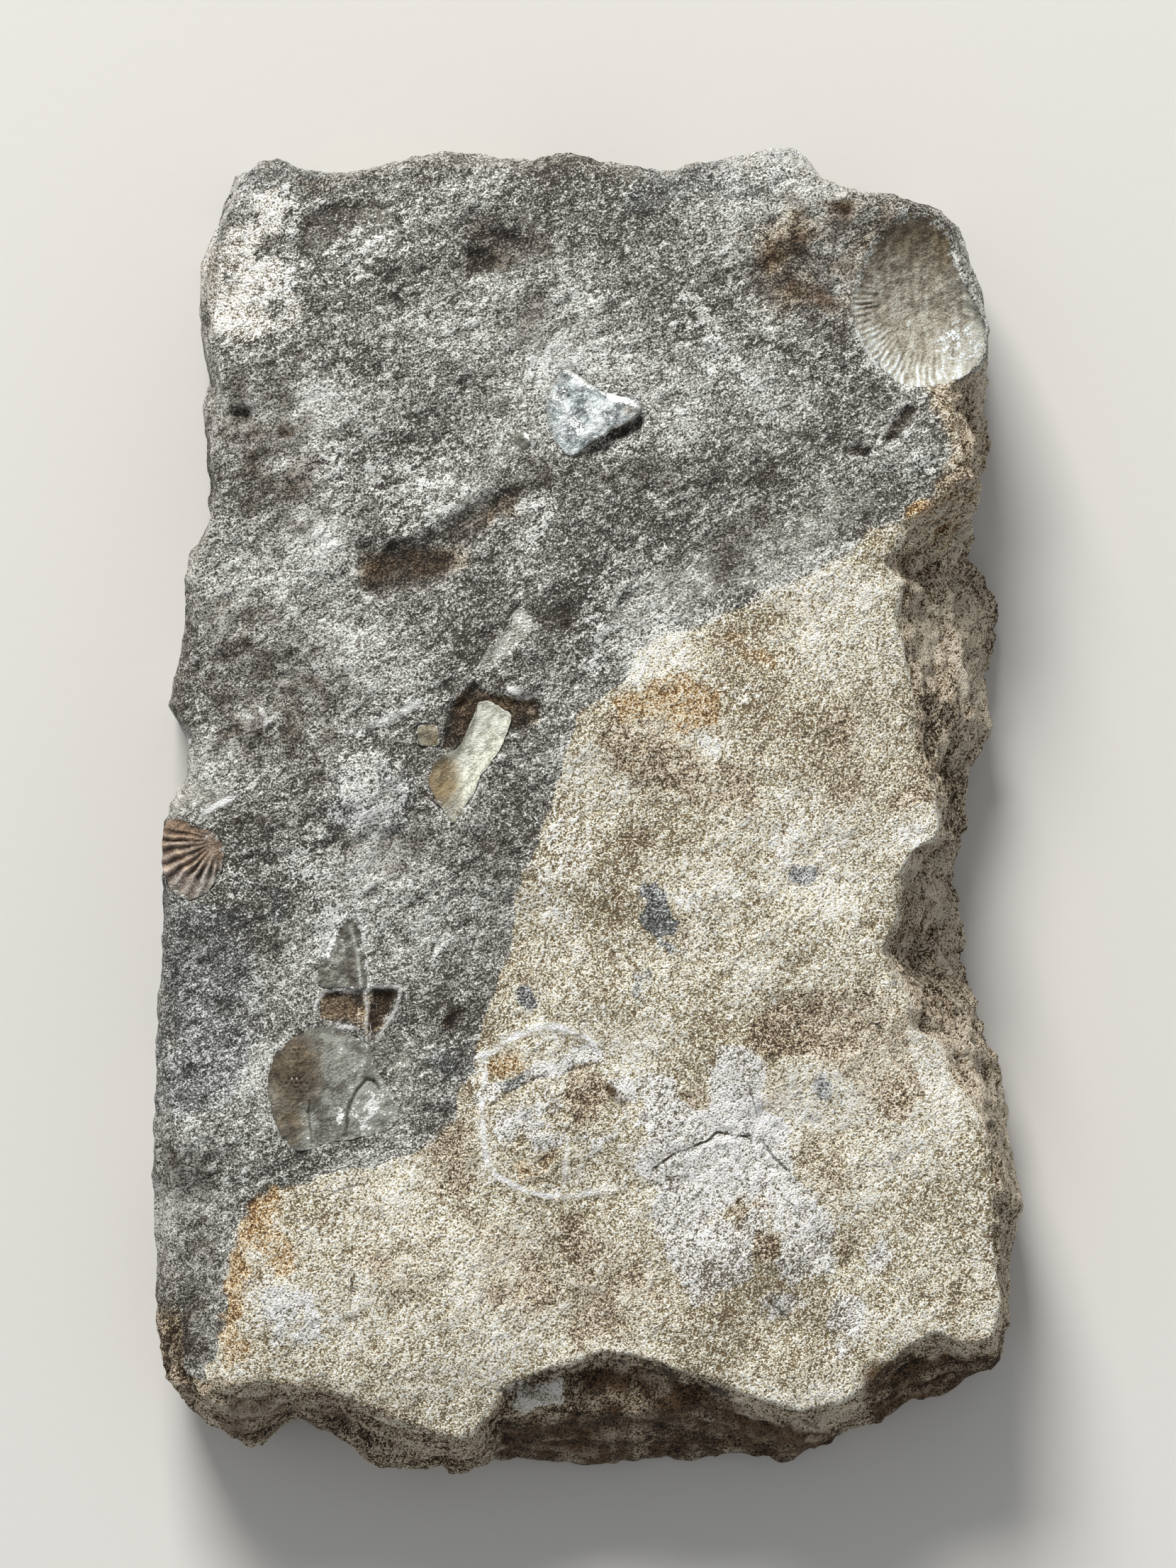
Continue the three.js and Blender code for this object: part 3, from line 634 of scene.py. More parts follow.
PITS: dict[str, Pit] = {
    "oval_imprint": Pit([(-41, 80.5), (-40, 83), (-37, 85), (-33, 86), (-29, 85.7), (-26.3, 84),
        (-24.8, 81), (-25.8, 78.5), (-28.5, 76.8), (-32, 75.3), (-35.5, 74.8), (-38.5, 76.4),
        (-40.6, 78.3)], 0.9, (0.02, -0.07), 0.7, 0),
    "square_pit": Pit([(-17.2, 79.2), (-13.6, 79), (-13.4, 75.6), (-17, 75.4)], 1.4, (0.2, -0.1), 0.8),
    "slot_pit": Pit([(-13.2, 81.4), (-9.8, 81.3), (-9.7, 79.9), (-13, 79.8)], 0.9, (0, -0.1), 0.8),
    "dark_hollow": Pit([(-32.5, 31.2), (-31.8, 36), (-28, 37.8), (-22, 38), (-18, 36.6), (-19, 33),
        (-24, 31), (-29, 30.4)], 1.4, (0.02, -0.18), 1.8, 0.75),
    "trough": Pit([(-21.5, 38.2), (-19, 41.2), (-14, 44.2), (-9.5, 46.2), (-8.5, 44), (-12, 41.2),
        (-16, 38.4), (-18.6, 36.9)], 0.9, (0.08, -0.1), 1.6, 0.65),
    "spindle_groove": Pit([(-9.4, 29.4), (-11.2, 26.4), (-13.4, 22.6), (-15.4, 19), (-11.4, 21.2),
        (-8, 24.2), (-6.4, 26.8)], 0.4, (0.12, -0.06), 0.5, 0),
    "chip_recess": Pit([(-20.6, 8.6), (-19.8, 13.5), (-18.2, 16), (-16, 17.8), (-14.2, 16.8),
        (-10.5, 15.8), (-6, 15.9), (-6.6, 13), (-9, 11.2), (-12, 12), (-16, 11), (-18, 8.6)], 0.9,
        (-0.02, 0.02), 0.5, 0.7),
    "head_hollow": Pit([(-38, -26), (-36, -25.3), (-31.9, -25.3), (-31.3, -28), (-33, -29.8),
        (-36.2, -30.4), (-38, -28.6)], 0.7, (0, -0.06), 0.6, 0.5),
    "head_trench": Pit([(-30.2, -25.3), (-26.6, -25.2), (-27.6, -27.6), (-29.3, -30.4), (-30.6, -32.4),
        (-31, -29)], 1.1, (0.08, -0.08), 0.6, 0.75),
    "edge_pit": Pit([(-50.2, 56.4), (-47.8, 56.3), (-47.2, 54.3), (-50.3, 54)], 1.3, (0, -0.3)),
    "tail_shadow": Pit([(7.9, 55.6), (4, 53.6), (0.6, 51.4), (-2, 49.6), (0.4, 49.6), (3.5, 51.2),
        (6.8, 53.2)], 0.9, (0.1, -0.25), 0.6, 0.5),
    "hooked_groove": Pit([(44.8, 57.4), (46.6, 56.6), (45, 54.2), (43.6, 52), (41.6, 51.8), (42.8, 54.2)],
        1, (0.15, -0.05)),
    "dark_streak": Pit([(35.4, 50.6), (37.5, 51.4), (39.8, 51), (39.6, 50), (36.5, 49.8)], 0.9,
        (0, -0.2)),
}


class Tone(Enum):
    """Tones that stain the stone; each is a value on the mesh's points."""

    TAN = "tan"
    OCHRE = "ochre"
    PALE = "pale"
    LILAC = "lilac"
    BLUE = "blue"
    BROWN = "brown"
    # Brown darkening: partly where the stone is dirty, partly painted shade in hollows, pits, under rims
    # and on the flanks.
    DIRT_AND_SHADE = "dirt_and_shade"
    SMOOTH = "smooth"
    FOLDS = "folds"


@dataclass(frozen=True)
class Stain:
    """Patch of another tone: a closed outline, or a line with a half width."""

    strength: float
    soft: float
    points: Outline
    half_width: float = 0.0

    def share(self, x: Array, y: Array, softer: Array | float = 0) -> Array:
        """Strength of the stain at each place, half of it on the outline.

        Args:
            x: places across.
            y: places along.
            softer: what is added to its softness at each place, in mm.

        Returns:
            The strength.
        """
        soft = self.soft + softer
        if self.half_width:
            away = np.abs(line_distance(self.points, x, y, self.half_width + self.soft))
            inside = self.half_width - away
        else:
            inside = inside_distance(self.points, x, y, self.soft + 4)
        return self.strength * ramp(-soft, soft, inside)


# How strongly, and at what size in mm, each tone's patches are broken up.
BREAKS: dict[Tone, tuple[float, float]] = {
    Tone.OCHRE: (1.0, 3.5), Tone.PALE: (0.6, 3), Tone.LILAC: (1.5, 5), Tone.BLUE: (0.8, 5),
    Tone.BROWN: (1.0, 6), Tone.DIRT_AND_SHADE: (0.5, 3),
}
TAN_EDGE: Outline = [
    (53, 45), (50, 44), (47, 42), (44, 41), (40, 39.5), (37, 36.5), (33, 34), (27, 31.5),
    (22, 28.5), (18, 27), (15, 25.5), (10, 24.5), (6, 21.5), (5, 18), (2, 15.8), (-1, 14),
    (-2.3, 10), (-4, 5), (-6, -1), (-8, -7), (-10, -11), (-10.5, -17), (-12, -22.5), (-14, -28),
    (-15.5, -33), (-16.5, -38), (-18.5, -40), (-18.5, -43), (-19.5, -45.5), (-22, -47),
    (-28, -50), (-36, -50.8), (-40, -52.5), (-43, -53), (-45, -55), (-48, -57.5), (-50, -64),
    (-50.8, -72), (-52, -76), (-54, -79), (-54, -82), (-53, -84),
]
# Rows are strength, softness, points and, for a line, its half width.
STAINS: dict[Tone, list[Stain]] = {tone: [Stain(*row) for row in rows] for tone, rows in {
    Tone.TAN: [(1, 0.7, TAN_EDGE + [(-53, -97), (70, -97), (70, 46)])],
    Tone.OCHRE: [
        (0.8, 1.2, [(-46, -54), (-43.5, -53.5), (-43, -56.5), (-46, -61), (-48.3, -66), (-49, -73),
            (-47.5, -77), (-50.5, -80), (-52.3, -77), (-51, -70), (-50.3, -63), (-48.5, -58)]),
        (1, 1.2, [(-47, -60), (-44.5, -59), (-41, -61.5), (-41.5, -65), (-44, -66), (-46, -63)]),
        (1.5, 1.1, [(3.5, 15.5), (8, 17), (10, 19), (14, 19.5), (18, 16), (17.5, 12), (14.5, 10.5),
            (11, 12), (8.5, 13), (5, 12.5)]),
        (0.7, 1, [(19, 24.5), (22, 25), (26, 21.5), (26, 20), (23, 20.5)]),
        (0.6, 1.2, [(-14, -35), (-9, -32.5), (-6, -33), (-9, -36), (-14, -38.5)]),
        (0.5, 1.5, [(-12.5, -48), (-5, -47.5), (-4.5, -51), (-9, -53)]),
        (0.8, 1.2, [(44.5, 41), (48, 44.5), (53.5, 45), (53, 40), (49, 37), (46, 38)]),
    ],
    Tone.PALE: [
        (0.9, 1, [(-42.3, 87.5), (-41.6, 82), (-41.8, 77), (-42.5, 73.5)], 0.9),
        (0.5, 2, [(-46, 79), (-43, 78), (-42, 70), (-46, 69.5), (-48, 72)]),
        # Paler lower wall of the oval imprint, the side that faces the light: painted light.
        (0.55, 1.6, [(-38, 78), (-33, 81.5), (-27, 81), (-29, 76.4), (-35, 75.6)]),
        # Light line along the imprint's lower rim: painted highlight.
        (0.6, 0.6, [(-40.8, 79), (-38, 75.9), (-35.5, 74.6), (-31, 75.4), (-27.8, 77), (-25.6, 79),
            (-25, 81.4), (-26.6, 84.4)], 0.5),
        (0.6, 1.2, [(-31.5, 49.5), (-27, 51), (-17.5, 45), (-23, 38.5), (-27.5, 41), (-31, 45)]),
        (0.9, 0.7, [(-31.5, 48), (-30, 44), (-25.5, 38.8), (-21.5, 41.2), (-17, 45)], 0.6),
        (0.55, 2, [(-43, 51), (-35, 52), (-32, 47), (-40, 45), (-44, 48)]),
        (0.95, 1.4, [(-34, 7), (-30, 8), (-25, 4), (-26, 0), (-29, -1), (-33, -3), (-36, -2), (-36, 1)]),
        (0.95, 0.8, [(-39.5, -1.5), (-37, -1.5), (-37, -4), (-39.5, -4)]),
        (0.55, 1.5, [(-42, -5.5), (-36, -6), (-35.5, -12), (-38, -13), (-42, -10)]),
        (0.6, 1, [(-52, -8), (-47, -9), (-46, -12), (-50, -12)]),
        (0.9, 0.8, [(-37.5, -14), (-34.5, -13), (-35, -17), (-37.5, -20.5), (-38, -17)]),
        (0.75, 0.8, [(-9, 43), (-6, 44), (-6, 41), (-8, 38)], 1),
        (0.9, 0.8, [(0, 33), (3, 33), (3, 31), (0, 31)]),
        (0.55, 1.2, [(0.5, 29), (2, 24), (1, 20)], 1.2),
        (1.2, 0.5, [(-9.6, 29), (-12.6, 24.6), (-16.4, 17.8), (-11.6, 21.8), (-7, 26)]),
        (0.5, 0.8, [(-34, 10.5), (-29, 12.5), (-24, 15), (-19, 15.5)], 0.7),
        (0.9, 0.8, [(14, 72.5), (16, 70.5), (17.5, 68), (18.5, 65.5), (17.5, 63)], 1),
        (0.7, 1, [(11, 69.5), (16, 69.5), (15, 67.5), (12, 68)]),
        (0.6, 0.8, [(21, 62), (24, 59), (26, 56.5)], 0.8),
        (0.8, 0.6, [(46, 50.3), (48.3, 48.3)], 0.9),
        (0.6, 1, [(1, 51), (5, 53), (7.5, 53), (7, 51), (3, 50.5)]),
        (0.5, 2, [(12, 26), (22, 29.5), (32, 33.5), (42, 40.5), (38, 36), (28, 29.5), (18, 26)]),
        (1, 0.8, [(5.5, 21.5), (8, 21), (7.5, 17.5), (6.3, 16.5), (5.3, 19)]),
        (0.7, 1, [(20, 17), (24, 18), (26.5, 16.5), (24, 15.5), (21, 15)]),
        (0.95, 0.5, [(15.6, 10.8), (18.3, 7.6)], 0.8),
        (1, 1, [(25, -4.5), (27, -2.5), (29.5, -3), (29.3, -6), (28, -8.3), (26.5, -6.5)]),
        (1, 1, [(12.5, -12), (15, -11.5), (17, -15), (16.5, -19), (15.5, -21.5), (13, -20), (13.7, -16)]),
        (1, 1, [(43, -2), (47.5, -1.5), (46, -5), (43, -4)]),
        (0.8, 0.8, [(-6.5, -13.5), (-2, -14), (-3, -16), (-6, -15.5)]),
        (0.5, 3, [(-8, -1), (1, 0), (2, -12), (-8, -14)]),
        (1, 0.6, [(-16.3, -33.2), (-13.8, -34.5), (-14.5, -38.5), (-17, -38.5), (-15.8, -36)]),
        (0.7, 1.2, [(-48, -64), (-44, -64), (-44, -68), (-48, -67)]),
        (0.7, 1, [(-34, -88), (-31, -90), (-26, -91.7)], 0.9),
        (0.6, 1, [(54, -58), (56.5, -58.5), (56.5, -64.5), (54, -64)]),
    ],
    Tone.LILAC: [
        (1.35, 1.0, [(18.5, -33), (20.5, -32.7), (23, -34.3), (25.5, -36), (24.8, -38), (24.2, -42),
            (27.5, -43.3), (28.7, -46.3), (29.2, -52), (32.5, -53.3), (34.1, -58), (34.8, -65.5),
            (29, -67), (26.8, -66), (26.5, -62.5), (24.5, -60), (22.5, -66), (18, -68.3), (15, -70),
            (12.5, -64.5), (9.3, -60), (9.5, -54), (7, -51), (7.3, -48.4), (9.5, -46.3), (7.2, -44),
            (7.5, -41), (4, -40), (2, -38.5), (8.5, -36.5), (11.5, -38), (13.5, -41.5), (17, -42.8),
            (17.5, -38)]),
        (0.6, 1.5, [(36, -67.5), (39, -70), (38.5, -74.5), (36.5, -78), (33, -74), (30, -72), (25, -71),
            (24, -68.5), (30, -69)]),
        (0.8, 1, [(41.5, -60), (42.8, -63), (41, -66.3), (38.8, -65)]),
        (0.7, 1, [(-0.5, -46), (4.5, -45), (3.5, -47.5), (0, -48.5)]),
        (0.7, 1.5, [(-12.5, -42), (-6, -39.5), (-3.5, -42), (-3, -46), (-8, -48), (-12.5, -46)]),
        (0.8, 1.8, [(-47, -70), (-43, -67.5), (-39, -68.5), (-37, -73), (-40, -76), (-45, -75)]),
        (0.85, 3, [(-57, 69), (-54, 80), (-47, 88), (-41, 86), (-42.5, 77), (-41, 70), (-48, 67)]),
        (1.3, 0.8, [(-11, -81), (-3, -80.5), (-3.5, -84), (-10, -84.8)]),
        (0.9, 0.5, [(-15, -40.4), (-11, -38.6), (-7, -36.4), (-4, -35.8), (0.4, -34.4)], 1.1),
    ],
    Tone.BLUE: [
        (1, 3, [(-64, -8), (-50, -14), (-48, -22), (-46, -30), (-50, -41), (-64, -44)]),
        (0.6, 2.5, [(6, 85), (28, 86), (30, 95), (5, 95)]),
        (0.6, 1.5, [(-57, 76), (-54, 86), (-48, 93), (-30, 92), (-30, 88.5), (-42, 88.5), (-48, 87),
            (-51, 80)]),
        (1.2, 0.5, [(8.2, -10), (9.8, -10.3), (11, -12), (11.8, -14.5), (12.8, -16), (12, -17.5),
            (10.8, -18.2), (12.6, -19.5), (12.4, -20.8), (10.8, -20), (9.6, -18.4), (8, -17), (7, -15.6),
            (8, -14.6), (8.8, -13.2), (7.8, -11.6)]),
        (1.2, 0.5, [(27.8, -9), (29, -8.2), (32, -7.8), (32.2, -9), (31, -10.3), (29.5, -10.6)]),
        (1.1, 0.4, [(-9, -25.7), (-8.4, -27.4)], 0.8),
        (0.8, 0.8, [(31, -38.5), (33, -37), (34.3, -38.5), (34.5, -41), (32, -40.5)]),
        (1.2, 0.5, [(-44.7, -11.3), (-43.6, -11.6), (-42.7, -14), (-43, -16), (-44.8, -15)]),
        (0.6, 1, [(6, -22.5), (8.5, -22.5), (9, -24.5), (6.5, -26)]),
        (0.6, 1.2, [(-22, -34), (-17, -33.5), (-16, -37), (-19, -39), (-22, -37)]),
        (0.5, 2, [(-36, 8), (-24, 5), (-26, -4), (-38, -2)]),
        (0.8, 0.5, [(-15.5, -40.6), (-11, -38.6), (-8, -36.9), (-2, -35.4)], 0.9),
    ],
    Tone.BROWN: [
        (0.34, 6, [(22, 80), (29, 88), (41, 87), (44, 83), (38, 77), (36, 70), (30, 68), (23, 72)]),
        (0.3, 2, [(-32.5, 31), (-31, 37), (-21, 37.5), (-10, 45), (-9, 42), (-18, 34)]),
        (1, 1.5, [(48, 60), (60, 62), (60, 40), (48, 42), (52, 50)]),
        (1, 0.6, [(-37.6, -26), (-26.6, -25.4), (-28, -29), (-30.4, -32), (-34, -30), (-37.5, -29)]),
        (0.7, 0.6, [(-20, 9), (-19, 15), (-16, 17.6), (-13, 16), (-6.3, 15.6), (-7, 12), (-17, 10)]),
        (1, 2, [(3, 13), (9, 13.5), (14, 10), (17, 7), (23, 5), (24, 1), (18, -0.8), (12, 3), (6, 3.5),
            (2.5, 6)]),
        (0.8, 2, [(35, 18), (38, 17), (39, 12), (37, 8), (34, 9), (33.5, 14)]),
        (0.5, 2.5, [(30, 8), (40, 6), (41, 1), (33, 0)]),
        (0.6, 2, [(42, 10), (48, 8), (49, 1), (43, 0)]),
        (1.4, 0.6, [(21.8, -33), (24, -29.5), (27.5, -26.5), (32, -24.8), (37, -24.8), (42, -26),
            (44.8, -28), (45, -33), (48, -40), (44, -44), (38, -40), (34, -35), (29, -34), (25, -34.8)]),
        (1, 0.8, [(25, -36.5), (28, -37.5), (28.8, -42), (26, -43), (24.6, -40)]),
        (0.7, 1.2, [(30, -44), (36, -46), (37, -54), (33, -55), (29.8, -50)]),
        (1.2, 1.2, [(20, -53.5), (23, -52.5), (25.5, -55), (27, -58), (26.5, -63), (24, -64), (21, -60),
            (20, -57)]),
        (0.7, 0.8, [(18, -45.5), (22, -46), (23.5, -48.5), (19, -48)]),
        (0.9, 0.8, [(12.8, -39.5), (17, -39), (17, -42), (14, -42)]),
        (0.9, 1, [(-1.5, -36), (1, -37), (3.5, -40), (1.5, -44), (-2.5, -45), (-3, -40)]),
        (0.6, 4, [(-16, -57), (-2, -58), (8, -58), (12, -66), (4, -74), (-10, -72), (-17, -66)]),
        (0.5, 3, [(-34, -63), (-24, -60), (-20, -66), (-28, -69)]),
        (0.7, 2, [(-24, -48.5), (-17.5, -44), (-15.5, -50), (-18, -55), (-26, -52)]),
        (0.7, 1.2, [(35, -56), (40, -57), (38, -63), (35.5, -64)]),
        (0.8, 1.4, [(-56, -80), (-36, -81), (-20, -88), (-16, -96), (-60, -96)]),
        (1.2, 0.8, [(-3, -79.5), (8, -77.6), (16, -80.5), (26, -84.6), (36, -87), (32, -96), (-14, -96),
            (-12, -86), (-3, -85.5)]),
        (0.9, 0.8, [(38, -82), (44, -77), (49, -73.5), (58.5, -74.5), (60, -80), (36, -92)]),
    ],
    # Patches darkened brown: partly where the stone is dirty, partly painted shade in hollows and under
    # rims.
    Tone.DIRT_AND_SHADE: [
        (0.4, 1.6, [(-33, 31), (-32.5, 35.5), (-27, 38), (-21, 38.2), (-16.5, 42), (-12, 45.5),
            (-7.5, 50), (-4.5, 51), (-4, 46.5), (-8.5, 44), (-10.5, 41), (-15.5, 38), (-18.5, 33.5),
            (-24, 31.5)]),
        (0.42, 1.6, [(-17.5, 84), (-5, 84), (-4, 77), (-13, 75.3), (-17.6, 76)]),
        # Painted shadow along the imprint's upper rim.
        (0.45, 0.8, [(-40.4, 81), (-38.5, 84), (-34, 85.4), (-29.6, 85)], 0.6),
        (0.5, 6, [(-54, 62), (-42, 62), (-36, 52), (-38, 40), (-46, 36), (-53, 44)]),
        (0.5, 6, [(-54, 30), (-44, 30), (-36, 22), (-34, 10), (-50, 6), (-56, 14)]),
        (0.4, 1.5, [(-47, 20), (-42, 22), (-35, 22), (-35, 14), (-40, 11.5), (-46, 13.5)]),
        (0.45, 3, [(-60, -48), (-52, -48), (-51, -66), (-53, -80), (-62, -80)]),
        (0.4, 2, [(-36, -3), (-24, -2), (-20, -6), (-24, -10), (-34, -8)]),
        (0.55, 3, [(22, 80), (29, 87), (40, 86.5), (44, 83), (38, 77), (36, 70), (30, 68), (23, 72)]),
        (0.35, 3, [(-2, 50), (10, 49), (24, 51), (30, 48), (20, 44), (6, 45), (-2, 44)]),
        (0.65, 1, [(-8, 29), (-3, 28), (-2, 25.5), (-7, 26)]),
        (0.3, 2, [(43.5, 36), (50, 36), (56, 30), (56, 22), (44, 22)]),
        (0.3, 2, [(42, -7), (54, -7), (55, -30), (45, -30), (41, -20)]),
        (0.6, 1.4, [(-53, -82), (-36, -83), (-32, -87), (-40, -90), (-52, -90)]),
        (0.85, 2, [(38, -79), (45, -76), (58, -76), (60, -80), (40, -90)]),
        (0.78, 0.8, [(-3, -79.5), (8, -78.4), (16, -81.2), (26, -85.4), (36, -88), (32, -96), (-14, -96),
            (-12, -86), (-3, -85.5)]),
        (0.6, 0.8, [(-51, -1.5), (-47, -1), (-43, -2.2)], 0.7),
        (0.9, 0.5, [(2.2, -39.4), (3.4, -38.8), (5, -40), (6.2, -40.4), (5.6, -41.6), (3.6, -41)]),
        (0.9, 0.7, [(-19.5, -29.5), (-18, -28)], 0.7),
    ],
    Tone.SMOOTH: [
        (0.4, 2, [(-30, 49), (-15, 47.5), (-14, 43), (-22, 39.5), (-31, 41)]),
        (0.5, 1, [(-41, 80.5), (-37, 85), (-29, 85.7), (-24.8, 81), (-28.5, 76.8), (-35.5, 74.8),
            (-40.6, 78.3)]),
        (0.7, 0.6, [(-9.6, 29), (-12.6, 24.6), (-16.4, 17.8), (-11.6, 21.8), (-7, 26)]),
        (0.8, 0.8, [(-58, 1), (-56, 4), (-51, 3.5), (-50, 1.5), (-53, 0)]),
        (0.7, 0.6, [(-37.5, -26), (-32, -25.6), (-31.6, -28), (-34, -30), (-37.5, -29)]),
        (0.6, 1.5, [(-31, -31), (-25, -33), (-24, -41), (-28, -46)]),
        (0.5, 3, [(8, 27), (30, 34), (44, 44), (36, 46), (24, 39), (10, 33)]),
        (0.4, 0.6, [(-15, -40.2), (-11, -38.6), (-7, -36.4), (0.4, -34.4)], 0.8),
        (0.8, 0.8, [(-11, -81), (-3, -80.5), (-3.5, -84), (-10, -84.8)]),
        (0.8, 0.8, [(8, -14.5), (12.5, -16), (11, -18), (8, -17)]),
        (0.5, 2, [(-52, 77), (-44, 82), (-44, 70), (-52, 69)]),
    ],
    Tone.FOLDS: [
        (1, 1.5, [(-13.5, -41.5), (-5, -37.5), (0, -38), (1, -45), (-2, -52), (-9, -53), (-13.5, -49)]),
        (0.6, 3, [(5, -38), (22, -35), (30, -46), (36, -62), (26, -70), (12, -66), (7, -50)]),
        (0.6, 3, [(-48, -58), (-34, -58), (-30, -72), (-44, -76)]),
    ],
}.items()}


@dataclass(frozen=True)
class Seam:
    """Thin line in the stone: a white vein that stands up, or a dark crack that lies deep."""

    points: Outline
    half_width: float
    rise: float
    strength: float = 1.0


VEINS = [
    Seam([(1.5, -34), (0.5, -32.5), (-1, -31.5), (-3, -30.8), (-6, -30.4), (-8, -30.8), (-10, -31.7),
        (-12, -32.8), (-13.5, -34), (-15, -34.5)], 0.33, 0.3),
    Seam([(-14.4, -37), (-15, -41), (-14.7, -47), (-14.2, -50), (-13, -51.5), (-12, -52), (-9, -53.5),
        (-6, -54.3), (-3, -54.4), (0, -54), (3.5, -53.5)], 0.28, 0.3, 0.95),
    Seam([(-3, -47), (-3.5, -53)], 0.3, 0.15, 0.5),
    Seam([(-32.2, -15.5), (-31.5, -20), (-31, -25)], 0.25, 0.1, 0.6),
    Seam([(-38.4, -27.5), (-37.4, -25.6), (-34.5, -24.9), (-31.5, -25), (-31, -28), (-31.4, -31),
        (-34, -30.4), (-37, -31)], 0.2, 0.25, 0.65),
    Seam([(-30, -24.9), (-26.2, -24.8), (-27, -28), (-29, -31)], 0.18, 0.2, 0.5),
    Seam([(-46, 14), (-45.3, 13), (-45.5, 12)], 0.3, 0.1, 0.7),
    Seam([(-54, -0.3), (-50, 1.8)], 0.3, 0.1, 0.7),
    Seam([(-10.5, 16.8), (-9.5, 15.8), (-8.6, 15.9)], 0.35, 0.15),
    Seam([(38, 70), (38.3, 67), (39.5, 65), (40.5, 63)], 0.3, 0.2, 0.8),
    Seam([(-33, 11), (-29, 12.5), (-24, 15)], 0.35, 0.2, 0.6),
]
CRACKS = [
    Seam([(-13.5, -41.5), (-12, -40), (-9, -38.5), (-7, -37.5), (-5, -37.2), (-2, -36.5), (0, -35.9)],
        0.25, -0.35, 0.8),
    Seam([(9.5, -50.2), (12, -48.5), (14, -47.6), (17, -46.5), (18, -45.3), (20, -45.6), (22.5, -46)],
        0.24, -0.4, 1.0),
    Seam([(24.5, -46.6), (26.3, -49), (28, -50.6)], 0.3, -0.4, 0.8),
    Seam([(22.8, -39), (23.8, -43), (23, -46)], 0.18, -0.3, 0.6),
    Seam([(26, -69.5), (28.3, -71.6)], 0.25, -0.3, 0.7),
    Seam([(-33.2, -66), (-33.4, -69.6)], 0.25, -0.3, 0.7),
    Seam([(-38, -55), (-35, -53.4), (-32, -52.6)], 0.2, -0.3, 0.7),
    Seam([(50.4, 5), (50.2, 0), (51, -5)], 0.3, -0.5, 0.9),
    Seam([(-12, -81.8), (-6, -79.4), (2, -77), (8, -77.8), (14, -79.9), (20, -82)], 0.35, -0.5, 0.9),
    Seam([(29, -85.8), (32, -86.2), (35, -85.8)], 0.2, -0.3, 0.6),
    Seam([(-25, 4), (-23, 2.4), (-21, 0.5)], 0.22, -0.3, 0.9),
    Seam([(-13, 17), (-11, 18.6), (-8.5, 18)], 0.22, -0.3, 0.8),
    Seam([(-25.5, 55.4), (-23.5, 55.3)], 0.3, -0.4, 0.9),
    Seam([(13, 66.3), (15, 66.4), (17, 67)], 0.25, -0.3, 0.8),
    Seam([(51.8, 60.4), (55.4, 62.2)], 0.3, -0.4, 0.7),
    # Dark line along the upper left wall of the spindle groove: painted shadow under that wall, cut in a
    # little like a crack.
    Seam([(-9.2, 29.8), (-11.8, 26.6), (-13.8, 23.6), (-15.6, 20.4)], 0.25, -0.2, 0.8),
]


# ---------------------------------------------------------------- the stone's relief

@dataclass(frozen=True)
class UpperFace:
    """Height of the slab's upper face, before pits and fossils."""

    top: float = 29.0
    long_lump: float = 24.0
    long_rise: float = 1.1
    short_lump: float = 9.0
    short_rise: float = 0.8

    def height(self, x: Array, y: Array) -> Array:
        """Height over the resting plane at each place, in mm."""
        z = (self.top + self.long_rise * value_noise(x / self.long_lump, y / self.long_lump, 1)
             + self.short_rise * value_noise(x / self.short_lump, y / self.short_lump, 2))
        for swell in SWELLS.values():
            z = z + bell(swell, x, y)
        for fall in FALLS:
            value, along = (x, y) if fall.along_x else (y, x)
            z = z - (fall.drop * ramp(fall.start, fall.end, value)
                     * ramp(fall.fade_start, fall.fade_end, along))
        return z


UPPER = UpperFace()


@dataclass(frozen=True)
class Roughness:
    """One layer of noise on the stone; its height is in mm where it shapes the surface."""

    height: float
    wavelength: float
    seed: int
    octaves: int
    kind: Grain = Grain.SOFT
    stretch: Point = (1, 1)
    turn: float = 0

    def at(self, p: Array) -> Array:
        """Its height at rows of x, y, z."""
        return self.height * rough(p, self.wavelength, self.seed, self.octaves, self.kind,
                                   self.stretch, self.turn)


HACKLE = (Roughness(0.34, 3.6, 33, 4, Grain.RIDGED, (1.7, 0.9), 24),
          Roughness(0.5, 1.8, 34, 3, Grain.SOFT, (1.4, 0.9), 24))
CRUMPLE = (Roughness(0.42, 3.0, 35, 4, Grain.SOFT, (1.5, 0.8), 62),
           Roughness(0.2, 1.7, 36, 2, Grain.RIDGED, (1.3, 0.8), 70))
BROAD_LUMPS = Roughness(0.8, 9, 41, 3)
SHADE = (Roughness(1.2, 26, 57, 2), Roughness(0.7, 9, 52, 4), Roughness(0.35, 2.8, 53, 3))


def place(name: str, data: bpy.types.ID) -> bpy.types.Object:
    """Makes an object of a mesh, a light or a camera and puts it in the scene."""
    made = bpy.data.objects.new(name, data)
    bpy.context.scene.collection.objects.link(made)
    return made


